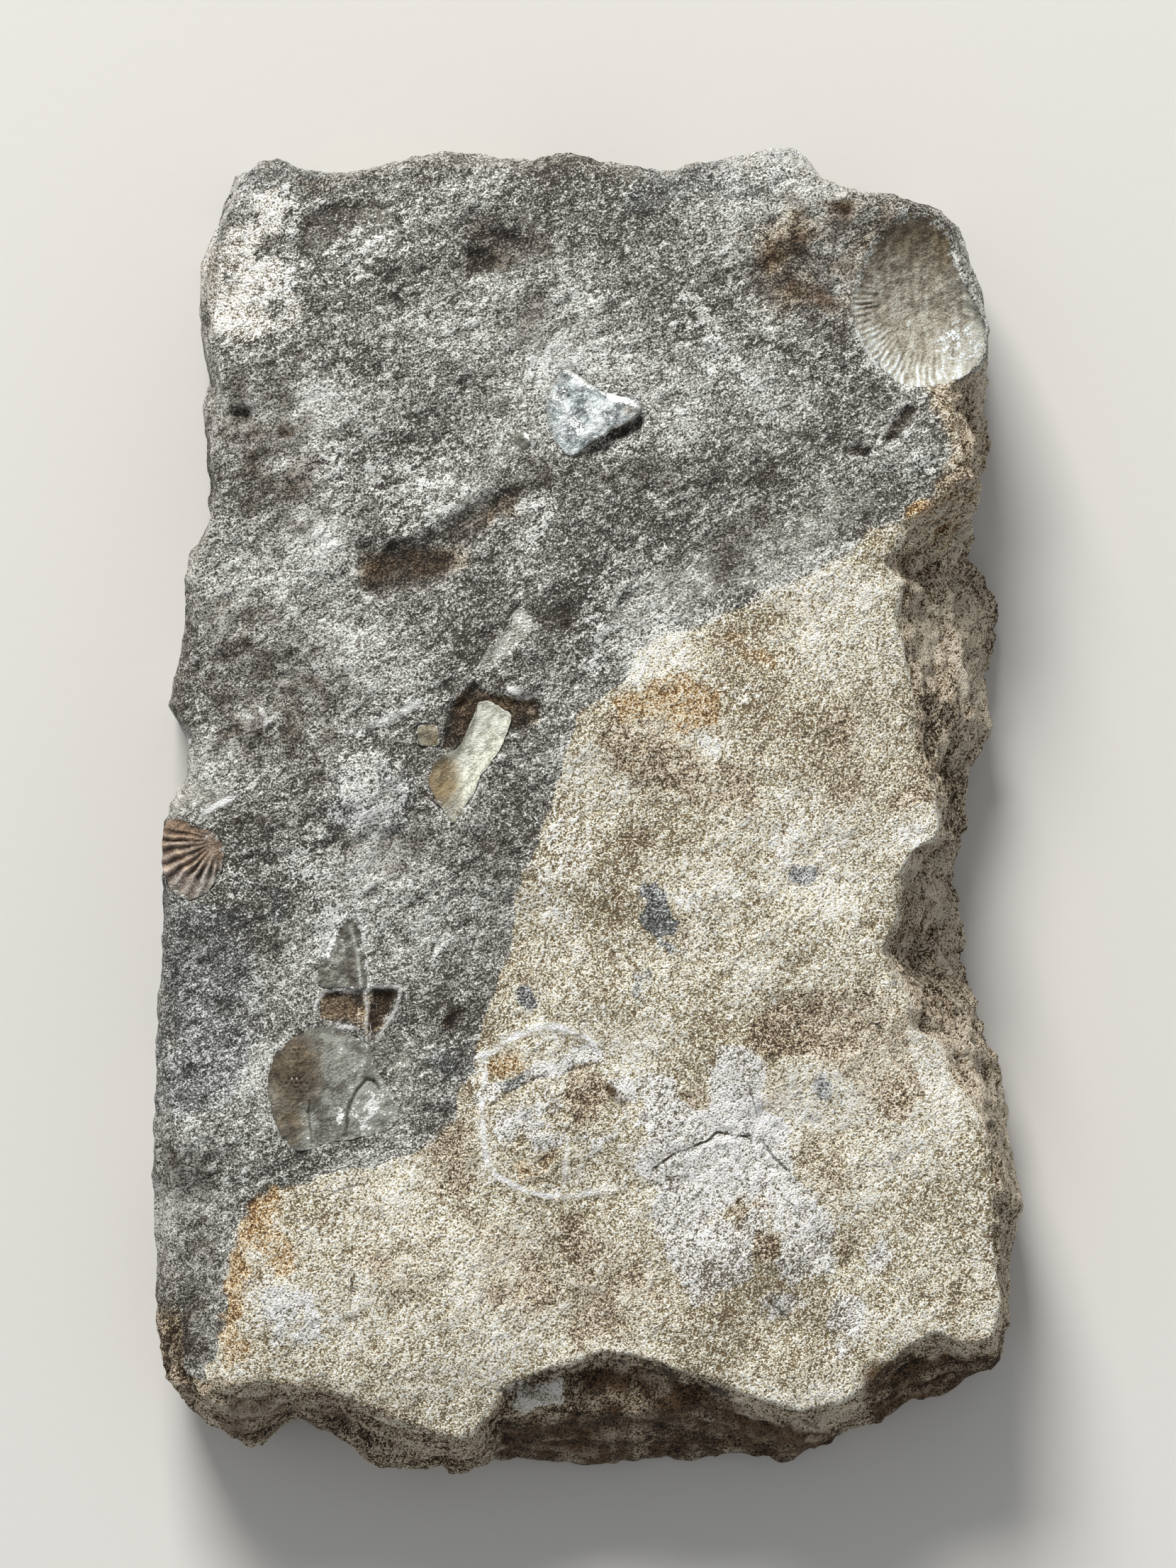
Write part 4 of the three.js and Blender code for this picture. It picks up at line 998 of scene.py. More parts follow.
def make_mesh(name: str, vertices: Array, faces: list, marks: Marks,
              uv: Array | None, flat_faces: int = 0) -> bpy.types.Object:
    """Makes a mesh object with its marks and its own texture map.

    Args:
        name: of the piece.
        vertices: rows of x, y, z in mm.
        faces: tuples of vertex numbers.
        marks: values on the points, by name.
        uv: rows of u, v, one for each face corner in order.
        flat_faces: how many of the last faces aren't shaded smooth.

    Returns:
        The object, riding on the slab's body.
    """
    mesh = bpy.data.meshes.new(name)
    mesh.from_pydata((vertices * MM).tolist(), [], faces)
    smooth = np.ones(len(mesh.polygons), bool)
    if flat_faces:
        smooth[-flat_faces:] = False
    mesh.polygons.foreach_set("use_smooth", smooth)
    for key, values in marks.items():
        mesh.attributes.new(key, "FLOAT", "POINT").data.foreach_set("value", values.astype(np.float32))
    if uv is not None:
        mesh.uv_layers.new(name="OFBake").data.foreach_set("uv", uv.astype(np.float32).ravel())
    mesh.validate()
    mesh.update()
    piece = place(name, mesh)
    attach(piece, BODY)
    return piece


# ---------------------------------------------------------------- fossils

@dataclass(frozen=True)
class FossilFinish:
    """Finish of a fossil: a palette of its own, a warm stain, a white frost and fine lines."""

    name: str
    colors: Palette
    warm: Rgb
    gloss: float = 0.35
    bump: float = 0.35
    speckle: float = 0.6

    def build(self) -> bpy.types.Material:
        """Makes the material.

        Returns:
            The material, fed by the marks tone, warm, frost, line and crust.
        """
        s = Shader(self.name)
        p = s.places()
        grain, grit, fibre, _ = s.grains(p)
        cloud = s.noise(p, 2.6, 4, 0.6) - 0.5
        rub = grain * 1.6 + grit * 0.8
        # Specks follow the grain that also makes the bump: painted lighter where it stands up, darker
        # where it sinks, painted shade at grain size.
        specks = grain * 2.6 + grit * 2.2 + fibre * 0.3
        level = s.mark("tone") + cloud * 0.5 + specks * self.speckle - 0.08 * self.speckle
        color = s.graded(level, self.colors.steps())
        warm = (s.mark("warm") + cloud + rub * 0.4).over(0.2, 0.9)
        color = s.mix(warm, color, self.warm, "MULTIPLY")
        frost = (s.mark("frost") + rub * 1.1).over(0.45, 0.62)
        color = s.mix(frost, color, self.colors.bright)
        color = s.mix(s.mark("line").held(), color, srgb(58, 50, 42))
        crust = (s.mark("crust") + rub * 0.9 + cloud * 0.8).over(0.42, 0.56)
        color = s.mix(crust, color, s.graded(specks + cloud * 0.6 + 0.42, GREY_STONE.steps()))
        relief = (grain + grit * 0.4) * (crust * (1 - self.bump) + self.bump) + frost * 0.04 + 0.5
        return s.finish(color, (0.9 - self.gloss * 0.5 + frost * 0.2 + crust * 0.3).held(),
                        s.bump(relief, 1.5), 0.35)


# The texture map of a fossil: the sizes of its top, its underside and its wall, and where they lie.
TOP_SHARE, UNDER_SHARE, WALL_SHARE = 0.7, 0.24, 0.96
UV_EDGE, UNDER_CORNER, WALL_BAND = 0.01, (0.74, 0.02), (0.78, 0.98)


@dataclass
class Fossil:
    """Plate set in the stone, star-shaped about its centre."""

    node: str
    slot: str
    center: Point
    outline: Outline
    thickness: float
    finish: FossilFinish
    rings: int = 48
    spokes: int = 192
    under_rings: int = 3
    wobble: float = 0.3
    grown: float = 0.0

    def __post_init__(self) -> None:
        """Works out the edge, always counter-clockwise."""
        area = sum(ax * by - bx * ay for (ax, ay), (bx, by)
                   in zip(self.outline, self.outline[1:] + self.outline[:1]))
        loop = self.outline if area > 0 else self.outline[::-1]
        edge = smooth_loop(loop, self.spokes)
        out = edge - self.center
        shift = 1 + self.wobble * rough(on_plane(*edge.T), 1.8, 71, 3) / np.hypot(*out.T)
        self.edge = self.center + out * shift[:, None]

    def lift(self, x: Array, y: Array, q: Array) -> Array:
        """Height over the upper face; each fossil has its own."""
        raise NotImplementedError

    def detail(self, p: Array, q: Array) -> Array:
        """Fine relief added to the lift; none unless a fossil has its own."""
        return np.zeros(len(p))

    def marks(self, p: Array, q: Array) -> Marks:
        """Values for the finish; each fossil has its own."""
        raise NotImplementedError

    def merge(self, x: Array, y: Array) -> Array:
        """How far the stone has grown over the edge at each place, 0..1."""
        return np.ones(x.shape)

    def share(self, x: Array, y: Array) -> Array:
        """Share q of the way from the centre to the edge, at any place."""
        ex, ey = (self.edge - self.center).T
        angles, reach = np.arctan2(ey, ex), np.hypot(ex, ey)
        order = np.argsort(angles)
        angle = np.arctan2(y - self.center[1], x - self.center[0])
        limit = np.interp(angle, angles[order], reach[order], period=2 * math.pi)
        return np.hypot(x - self.center[0], y - self.center[1]) / limit

    def polar(self, shares: Array) -> tuple[Array, Array]:
        """Points on rings at given shares.

        Args:
            shares: from 0 at the centre to 1 at the edge.

        Returns:
            Rows of x, y with the centre first, and the share of each row.
        """
        rings = [self.center + (self.edge - self.center) * q for q in shares[1:]]
        flat = np.vstack([[self.center], *rings])
        return flat, np.concatenate([[0], np.repeat(shares[1:], self.spokes)])

    def build(self) -> bpy.types.Object:
        """Makes and dresses the piece.

        Returns:
            The piece, standing for its node.
        """
        top, q = self.polar(np.linspace(0, 1, self.rings + 1))
        x, y = top.T
        p = on_plane(x, y)
        z = UPPER.height(x, y) + self.lift(x, y, q) + self.detail(p, q)
        under, uq = self.polar(np.linspace(0, 1, self.under_rings + 1))
        uz = (UPPER.height(*under.T) + self.lift(*under.T, uq)) - self.thickness
        vertices = np.vstack([np.column_stack([top, z]), np.column_stack([under, uz])])
        faces, marks = self.faces(len(top)), self.marks(p, q)
        merge = self.merge(x, y)
        marks["crust"] = np.maximum(self.grown,
                                    (0.1 + 0.45 * merge) * ramp(0.88 - 0.16 * merge, 1.02, q))
        marks = {key: np.concatenate([values, np.full(len(under), values.mean())])
                 for key, values in marks.items()}
        piece = make_mesh(self.node + "_plate", vertices, faces, marks,
                          self.texture_map(vertices, faces, len(top)))
        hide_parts(self.node)
        piece.data.materials.append(self.finish.build())
        return piece

    def faces(self, below: int) -> list[tuple[int, ...]]:
        """Faces of the top, the underside, whose first point is given, and last the wall."""
        n = self.spokes
        faces: list[tuple[int, ...]] = []
        for upper, (middle, a, b) in zip(fan(0, 1, n), fan(below, below + 1, n)):
            faces += [upper, (middle, b, a)]
        for ring in range(self.rings - 1):
            faces += band(1 + ring * n, 1 + (ring + 1) * n, n)
        for first in range(below + 1, below + 1 + (self.under_rings - 1) * n, n):
            faces += [quad[::-1] for quad in band(first, first + n, n)]
        return faces + band(1 + (self.rings - 1) * n, below + 1 + (self.under_rings - 1) * n, n)

    def texture_map(self, vertices: Array, faces: list, below: int) -> Array:
        """Texture map: the top on the left, the underside small beside it.

        Args:
            vertices: all points.
            faces: all faces.
            below: number of the underside's first point.

        Returns:
            Rows of u, v for each face corner.
        """
        flat = vertices[:, :2]
        lo, size = flat.min(0), np.ptp(flat, axis=0).max()
        uv = (flat - lo) / size * TOP_SHARE + UV_EDGE
        uv[below:] = (flat[below:] - lo) / size * UNDER_SHARE + UNDER_CORNER
        out = uv[np.concatenate([np.array(face) for face in faces])]
        station, (low, high) = np.arange(self.spokes), WALL_BAND
        left, right = ((station + i) / self.spokes * WALL_SHARE + UV_EDGE for i in (0, 1))
        strip = np.stack([np.column_stack([u, np.full(self.spokes, v)]) for u, v
                          in ((left, high), (left, low), (right, low), (right, high))], axis=1)
        out[-4 * self.spokes:] = strip.reshape(-1, 2)
        return out


VALVE_FINISH = FossilFinish(
    "striped_shell",
    Palette.screen((84, 77, 64), (132, 125, 111), (168, 166, 154), (206, 211, 211)),
    srgb(224, 206, 178), gloss=0.25, speckle=0.45)
RIB_FINISH = FossilFinish(
    "ribbed_shell",
    Palette.screen((58, 48, 41), (112, 103, 94), (172, 166, 158), (226, 224, 219)),
    srgb(204, 178, 154), bump=0.3, speckle=0.45)
HEAD_FINISH = FossilFinish(
    "trilobite_skeleton",
    Palette.screen((60, 54, 47), (104, 102, 94), (144, 146, 138), (232, 233, 229)),
    srgb(210, 188, 164), gloss=0.1, speckle=0.36)
TAIL_FINISH = FossilFinish(
    "pale_skeleton",
    Palette.screen((78, 82, 82), (134, 141, 142), (196, 203, 203), (252, 253, 250)),
    srgb(206, 186, 162), bump=0.45, speckle=0.55)
CHIP_FINISH = FossilFinish(
    "pale_shell",
    Palette.screen((104, 100, 86), (160, 158, 143), (208, 209, 195), (236, 238, 230)),
    srgb(168, 147, 120), gloss=0.3, speckle=0.4)


@dataclass
class StriateValve(Fossil):
    """Hollow valve in the far right corner, with fine radial stripes."""

    hub: Point = (48.5, 72.5)
    stripes_per_radian: float = 76
    hollow: float = 4.6

    def lift(self, x: Array, y: Array, q: Array) -> Array:
        """Bowl, deepest in the middle, falling away on the right."""
        return -0.4 - self.hollow * (1 - q * q) - 0.12 * np.maximum(0, x - 51) ** 2

    def merge(self, x: Array, y: Array) -> Array:
        """Grown over at the back, free in front and on the right."""
        return 0.25 + 0.75 * ramp(69, 78, y + 0.5 * (47 - x))

    def stripes(self, p: Array) -> Array:
        """Short radial stripes in -1..1, strongest low on the left."""
        x, y = p[:, 0], p[:, 1]
        angle = np.arctan2(y - self.hub[1], x - self.hub[0]) + 0.05 * rough(p, 4, 81, 3)
        return (np.cos(angle * self.stripes_per_radian) * ramp(77, 71, y) * ramp(53, 48, x)
                * (0.7 + 0.6 * rough(p, 2, 82, 3)))

    def detail(self, p: Array, q: Array) -> Array:
        """Stripes towards the edge, faint folds and a rough edge."""
        return (0.14 * self.stripes(p) * ramp(0.5, 0.8, q) + 0.4 * rough(p, 5, 83, 4)
                + 0.18 * rough(p, 1.4, 84, 3) + 0.25 * rough(p, 2, 80, 3) * ramp(0.75, 1, q))

    def marks(self, p: Array, q: Array) -> Marks:
        """Brown and streaked behind, with painted shade on the back wall; painted light makes it pale in
        front; blue-white at the right.
        """
        x, y = p[:, 0], p[:, 1]
        # Tone rises from the back to the front and near the front rim: painted shade on the bowl's back
        # wall, painted light on its front slope.
        tone = 0.24 + 0.28 * ramp(82, 64, y) + 0.3 * self.stripes(p) * ramp(0.5, 0.8, q)
        tone += 0.2 * ramp(0.6, 0.9, q) * ramp(76, 70, y)
        tone += 0.3 * rough(p, 2.2, 85, 4, stretch=(0.5, 2.2))
        frost = 0.5 * blob(x, y, 52.5, 66, 6.5, 5.5) + 0.22 * blob(x, y, 46, 61.5, 8, 3)
        frost += 0.2 * blob(x, y, 41, 68, 4, 8)
        warm = 0.6 * ramp(74, 82, y) + 0.3 * blob(x, y, 50.5, 79, 2.5, 5)
        return {"tone": tone, "warm": warm, "frost": frost,
                "line": ramp(0.965, 0.99, q) * ramp(45, 40, x) * 0.25}


def blob(x: Array, y: Array, cx: float, cy: float, rx: float, ry: float) -> Array:
    """1 at a centre, fading to 0 at the given half sizes."""
    return ramp(1, 0.3, np.hypot((x - cx) / rx, (y - cy) / ry))


@dataclass
class RibbedValve(Fossil):
    """Small strongly ribbed valve at the left edge."""

    hub: Point = (-51.9, -4.3)
    step: float = math.radians(12.5)

    def ribs(self, p: Array) -> Array:
        """Ribs in -1..1, fading towards their hub."""
        dx, dy = p[:, 0] - self.hub[0], p[:, 1] - self.hub[1]
        angle = np.arctan2(dy, dx) + 0.06 * rough(p, 3, 104, 2)
        crest = np.cos(2 * math.pi * angle / self.step) * ramp(1, 6, np.hypot(dx, dy))
        fade = ramp(-2.2, -3.6, p[:, 1]) * (0.3 + 0.9 * ramp(-13, -8, p[:, 1]))
        return crest * (0.8 + 0.5 * rough(p, 2.5, 105, 2)) * fade

    def merge(self, x: Array, y: Array) -> Array:
        """Free on the left, grown over below and round the hub."""
        return np.maximum(ramp(-8, -12, y), ramp(-55, -52, x))

    def lift(self, x: Array, y: Array, q: Array) -> Array:
        """Low dome that falls away over the edge of the slab."""
        return 0.5 * (1 - q * q) - 0.055 * np.maximum(0, -54 - x) ** 2

    def detail(self, p: Array, q: Array) -> Array:
        """Ribs and growth lines."""
        reach = np.hypot(p[:, 0] - self.hub[0], p[:, 1] - self.hub[1])
        return 0.4 * self.ribs(p) + 0.04 * np.cos(reach * 5) + 0.1 * rough(p, 2, 86, 3)

    def marks(self, p: Array, q: Array) -> Marks:
        """Ribs light, furrows dark, everything brownish pink."""
        tone = 0.48 + 0.27 * self.ribs(p) + 0.25 * rough(p, 2.4, 87, 4)
        return {"tone": tone, "warm": 0.75 + 0.3 * rough(p, 4, 87, 2) - 0.5 * ramp(-6, -11, p[:, 1]),
                "frost": 0.25 * blob(p[:, 0], p[:, 1], -53, -4, 3, 2), "line": 0 * q}


@dataclass
class TrilobiteHead(Fossil):
    """Piece of a trilobite's head: a brown lobe with lens dots and a pale smooth lobe."""

    crack: Outline = field(default_factory=lambda: [
        (-34.3, -46), (-33.9, -43.6), (-33.4, -41.4), (-32.6, -39.4), (-31.2, -37.9),
        (-30.1, -38.2), (-29.4, -39.4)])
    notch: Outline = field(default_factory=lambda: [(-39.3, -41), (-39.2, -44), (-38.8, -47)])
    dot_step: Point = (0.72, 0.66)
    white_specks: tuple[Point, ...] = ((-41.7, -37.8), (-41, -37.8), (-40.3, -37.8))

    def lift(self, x: Array, y: Array, q: Array) -> Array:
        """Two lobes that sink to the stone at the edge."""
        lobes = 0.2 + 1.0 * bell((-41, -37.5, 5.5, 8, 0, 1), x, y)
        lobes = lobes + 0.7 * bell((-31.2, -42.4, 3.4, 5.2, 0, 1), x, y)
        return lobes * (1 - 0.8 * q ** 3)

    def merge(self, x: Array, y: Array) -> Array:
        """Free on the left, grown over on the right."""
        return 0.15 + 0.85 * ramp(-42, -29, x)

    def dots(self, p: Array) -> Array:
        """Lens dots in uneven rows on the left lobe, 0..1."""
        (x, y), (across, along) = strayed(p, 0.25, 1.6, 106), self.dot_step
        row = y / along
        column = x / across + 0.5 * (np.round(row) % 2)
        near = np.hypot((column - np.round(column)) * across, (row - np.round(row)) * along)
        area = blob(x, y, -41.2, -36, 3.8, 5.6) * ramp(-0.3, 0.3, rough(p, 2.5, 108, 2))
        return ramp(0.32, 0.14, near) * area

    def joints(self, p: Array) -> list[Array]:
        """Distances to the crack and to the notch, both uneven, in mm."""
        x, y = strayed(p, 0.3, 1.5, 109)
        return [np.abs(line_distance(line, x, y, 2)) for line in (self.crack, self.notch)]

    def detail(self, p: Array, q: Array) -> Array:
        """Dots, the crack and the notch between the lobes."""
        crack, notch = self.joints(p)
        return (0.12 * self.dots(p) - 0.4 * ramp(0.42, 0.08, crack) - 0.3 * ramp(0.3, 0.08, notch)
                + 0.25 * rough(p, 3.2, 89, 4) + 0.12 * rough(p, 1.3, 88, 3))

    def marks(self, p: Array, q: Array) -> Marks:
        """Brown left lobe, grey middle, pale right lobe, and white specks."""
        x, y = p[:, 0], p[:, 1]
        tone = 0.34 + 0.2 * ramp(-40, -36, x) + 0.26 * blob(x, y, -31, -42, 4, 5)
        tone = tone + 0.2 * blob(x, y, -41, -44, 4, 5) - 0.4 * self.dots(p)
        tone = tone + 0.35 * rough(p, 2.4, 90, 4)
        frost = 0.75 * blob(x, y, -35, -43, 0.9, 2)
        for speck in self.white_specks:
            frost = frost + 0.5 * blob(x, y, *speck, 0.25, 0.3)
        crack, notch = self.joints(p)
        warm = 0.85 * blob(x, y, -41.5, -37, 6.5, 9) + 0.7 * blob(x, y, -42.5, -45, 4, 4)
        line = np.maximum(0.75 * ramp(0.28, 0.06, crack), 0.55 * ramp(0.2, 0.04, notch))
        return {"tone": tone, "warm": warm + 0.2 * rough(p, 3, 91, 3), "frost": frost,
                "line": line + 0.35 * ramp(0.93, 0.99, q) * ramp(-42, -44, x)}


@dataclass
class HeadStrip(Fossil):
    """Strip of skeleton above the head."""

    fold: Outline = field(default_factory=lambda: [(-33.4, -16.5), (-32.5, -20), (-32, -24.6)])

    def lift(self, x: Array, y: Array, q: Array) -> Array:
        """Slopes down towards the head."""
        return 0.5 - 0.35 * q + 0.05 * (-16 - y)

    def merge(self, x: Array, y: Array) -> Array:
        """Free on the left, grown over above and on the right."""
        return 0.3 + 0.7 * ramp(-35, -32.5, x)

    def detail(self, p: Array, q: Array) -> Array:
        """A fold along the strip."""
        fold = np.abs(line_distance(self.fold, p[:, 0], p[:, 1], 3))
        return 0.2 * ramp(1.2, 0.1, fold) + 0.5 * rough(p, 2.2, 92, 4) + 0.15 * rough(p, 0.9, 111, 2)

    def marks(self, p: Array, q: Array) -> Marks:
        """Grey, with a white patch at the upper left and a light line on the right."""
        x, y = p[:, 0], p[:, 1]
        frost = 0.75 * ramp(0.3, 1.0, q) * ramp(-33, -36, x) * ramp(-23, -19, y)
        fold = np.abs(line_distance(self.fold, x, y, 2))
        return {"tone": 0.42 + 0.25 * ramp(0.7, 0.1, fold) + 0.3 * rough(p, 2, 93, 4),
                "warm": 0.2 * ramp(-19, -24, y), "frost": frost + 0.5 * rough(p, 1.6, 103, 4),
                "line": 0.5 * ramp(0.9, 0.5, np.abs(fold - 0.9))}


@dataclass
class TrilobiteTail(Fossil):
    """Blue-white tail piece in the grey stone."""

    # Line of the painted highlight along the upper edge.
    highlight_edge: Outline = field(default_factory=lambda: [(-3, 62), (0, 60), (4, 58), (7, 57)])

    def lift(self, x: Array, y: Array, q: Array) -> Array:
        """Wedge that stands out to the right, with a knob at its tip."""
        return (0.1 + 1.3 * ramp(-6, 5, x - 0.6 * (y - 56))
                + 0.6 * bell((6.1, 56.8, 1.8, 1.8, 0, 1), x, y) - 0.4 * q ** 3)

    def merge(self, x: Array, y: Array) -> Array:
        """Grown over on the left, free on the right."""
        return ramp(3, -2, x - 0.9 * (y - 56))

    def folds(self, p: Array) -> Array:
        """Uneven folds down the piece, -1..1."""
        return np.cos((p[:, 0] * 0.8 - p[:, 1] * 0.55) * 1.7 + rough(p, 4, 94, 3) * 4)

    def detail(self, p: Array, q: Array) -> Array:
        """Folds that fade towards the edge, and roughness."""
        return (0.14 * self.folds(p) * ramp(1, 0.6, q) + 0.45 * rough(p, 2.6, 95, 4)
                + 0.14 * rough(p, 1, 93, 2))

    def marks(self, p: Array, q: Array) -> Marks:
        """Bluish, painted highlight on the upper edge, painted shadow on the lower right, white crust on
        the left, warm knob.
        """
        x, y = p[:, 0], p[:, 1]
        top = np.abs(line_distance(self.highlight_edge, x, y, 3))
        # Painted highlight along the upper edge, then white crust.
        frost = 0.6 * ramp(1.0, 0.1, top) + 0.5 * blob(x, y, -4.2, 58.5, 2.6, 4.5)
        frost = frost + 0.4 * blob(x, y, -2, 54, 4, 3) + 0.3 * blob(x, y, 2, 56.5, 4, 3)
        frost = frost + 0.45 * rough(p, 2.2, 97, 3)
        # Painted shadow on the lower right edge: tone lowered, made browner, and a dark line drawn along
        # the lower edge.
        shade = ramp(0.86, 1, q) * ramp(57.5, 55.5, y) * ramp(-2, 1, x)
        return {"tone": 0.5 + 0.14 * self.folds(p) + 0.3 * rough(p, 2.6, 96, 4) - 0.3 * shade,
                "warm": 0.6 * blob(x, y, 6, 56.8, 2.2, 2) + 0.7 * shade, "frost": frost,
                "line": 0.35 * ramp(0.96, 1, q) * ramp(57, 55, y)}


@dataclass
class LongShellChip(Fossil):
    """Long cream chip of shell in the middle."""

    def lift(self, x: Array, y: Array, q: Array) -> Array:
        """Shallow trough."""
        return 0.35 - 0.9 * (1 - q * q)

    def detail(self, p: Array, q: Array) -> Array:
        """Lines along the chip and an uneven face."""
        across = p[:, 0] * 0.87 - p[:, 1] * 0.5
        return 0.05 * np.cos(across * 4 + rough(p, 4, 97, 2) * 3) + 0.3 * rough(p, 2.5, 98, 4)

    def merge(self, x: Array, y: Array) -> Array:
        """Free at the upper end and on the left, grown over elsewhere."""
        return ramp(12, 5, y) * ramp(-1.5, 1.5, x * 0.87 - y * 0.5 + 19)

    def marks(self, p: Array, q: Array) -> Marks:
        """Cream above, brown at the lower left, grey-blue at the tip."""
        x, y = p[:, 0], p[:, 1]
        warm = 0.9 * blob(x, y, -21, 4.4, 4.8, 6.5)
        tone = 0.56 + 0.3 * rough(p, 2.4, 99, 4) - 0.25 * ramp(3, -1, y)
        return {"tone": tone, "warm": warm, "frost": 0.35 * ramp(0.85, 1, q),
                "line": 0.3 * ramp(0.97, 1, q) * ramp(-16, -19, x)}


@dataclass
class SmallShellChip(Fossil):
    """Small square chip beside the long one."""

    def lift(self, x: Array, y: Array, q: Array) -> Array:
        """Flat."""
        return 0.35 + 0 * x

    def detail(self, p: Array, q: Array) -> Array:
        """Slight waves."""
        return 0.1 * rough(p, 1.8, 100, 3)

    def marks(self, p: Array, q: Array) -> Marks:
        """Pinkish brown above, pale below."""
        return {"tone": 0.3 + 0.5 * rough(p, 1.6, 101, 3), "warm": 0.6 * ramp(3, 8, p[:, 1]),
                "frost": 0.7 * ramp(7, 4, p[:, 1]), "line": 0 * q}


def make_fossils() -> list[Fossil]:
    """Lists the fossils with their places and edges, as the solids have them."""
    return [
        StriateValve("striate_valve", "striped_shell", (47, 71.5), [
            (43.2, 83.2), (45.5, 84.3), (48, 84), (50.2, 82.4), (51.2, 79.2), (52.2, 75.8),
            (53.8, 72.6), (55.2, 70.2), (56, 68), (56, 66), (55.4, 63.8), (54.6, 62.4),
            (52.5, 60.9), (49.5, 59.9), (46.5, 59.6), (43.8, 60.2), (41.8, 61.9), (40, 64),
            (38.6, 66.6), (37.3, 69.5), (37.2, 72.5), (38.2, 76), (39.5, 79.3), (41.2, 81.6)],
            1.3, VALVE_FINISH, rings=60, spokes=432),
        RibbedValve("ribbed_valve", "ribbed_shell", (-55.5, -6.6), [
            (-59.6, -2), (-58, -1.3), (-55, -2.4), (-52.4, -3.6), (-51.3, -5.4), (-51.7, -8.5),
            (-53.3, -11.2), (-56, -12.6), (-58.3, -11.6), (-59.7, -9), (-60, -5.4)],
            2.2, RIB_FINISH),
        TrilobiteHead("trilobite_head", "skeleton", (-36.5, -38.5), [
            (-34.2, -31.4), (-36.4, -30.5), (-39.2, -30.9), (-42, -32.4), (-44, -34.6),
            (-45, -37.3), (-45, -40), (-44.4, -43), (-43, -46), (-41.2, -47.8), (-39.2, -47.9),
            (-36.6, -46.9), (-34.4, -46.6), (-31.5, -46), (-28.6, -45.2), (-26.8, -43.4),
            (-27, -41), (-28.6, -38.6), (-30, -36), (-30.6, -33.6), (-32, -32.4)],
            2.2, HEAD_FINISH, rings=60, spokes=288),
        HeadStrip("head_strip", "skeleton", (-34.4, -21.4), [
            (-32.6, -15.6), (-34.6, -16.4), (-36.2, -18.2), (-37.5, -21), (-38, -24.6),
            (-34.6, -24.9), (-31.3, -24.8), (-31.6, -20)], 1.6, HEAD_FINISH, grown=0.24),
        TrilobiteTail("trilobite_tail", "pale_skeleton", (0.6, 56.2), [
            (-3, 62.3), (0, 60.2), (2.5, 58.9), (4.4, 58.3), (6.4, 58.1), (7.5, 56.7),
            (6.9, 55.3), (3.4, 53.4), (0.4, 51.6), (-2.4, 50), (-4.6, 52), (-6, 56), (-4.8, 60.4)],
            2.4, TAIL_FINISH),
        LongShellChip("long_shell_chip", "pale_shell", (-17, 7), [
            (-15.3, 15.2), (-13.4, 15.1), (-11, 13.3), (-11.3, 11.2), (-12.5, 8.5), (-15, 5),
            (-16, 2.5), (-17.4, 0.4), (-18.8, -1.7), (-19.8, -1), (-20.8, 0.5), (-22, 2.5),
            (-22.4, 4.5), (-21.5, 6.5), (-19.8, 7.9), (-18, 9.2), (-16.7, 12), (-15.8, 14)],
            1.1, CHIP_FINISH),
        SmallShellChip("small_shell_chip", "pale_shell", (-22.6, 10.5), [
            (-24, 11.7), (-22.5, 12), (-21.2, 11.8), (-21, 9.3), (-22.3, 9), (-23.7, 9.4)],
            0.9, CHIP_FINISH, rings=16, spokes=96, wobble=0.06),
    ]


# ---------------------------------------------------------------- the stone

@dataclass(frozen=True)
class Patch:
    """How one tone lies on the stone: how grains break its edge, how soft that is, its colours."""

    tone: str
    broken: float
    soft: float
    colors: Palette


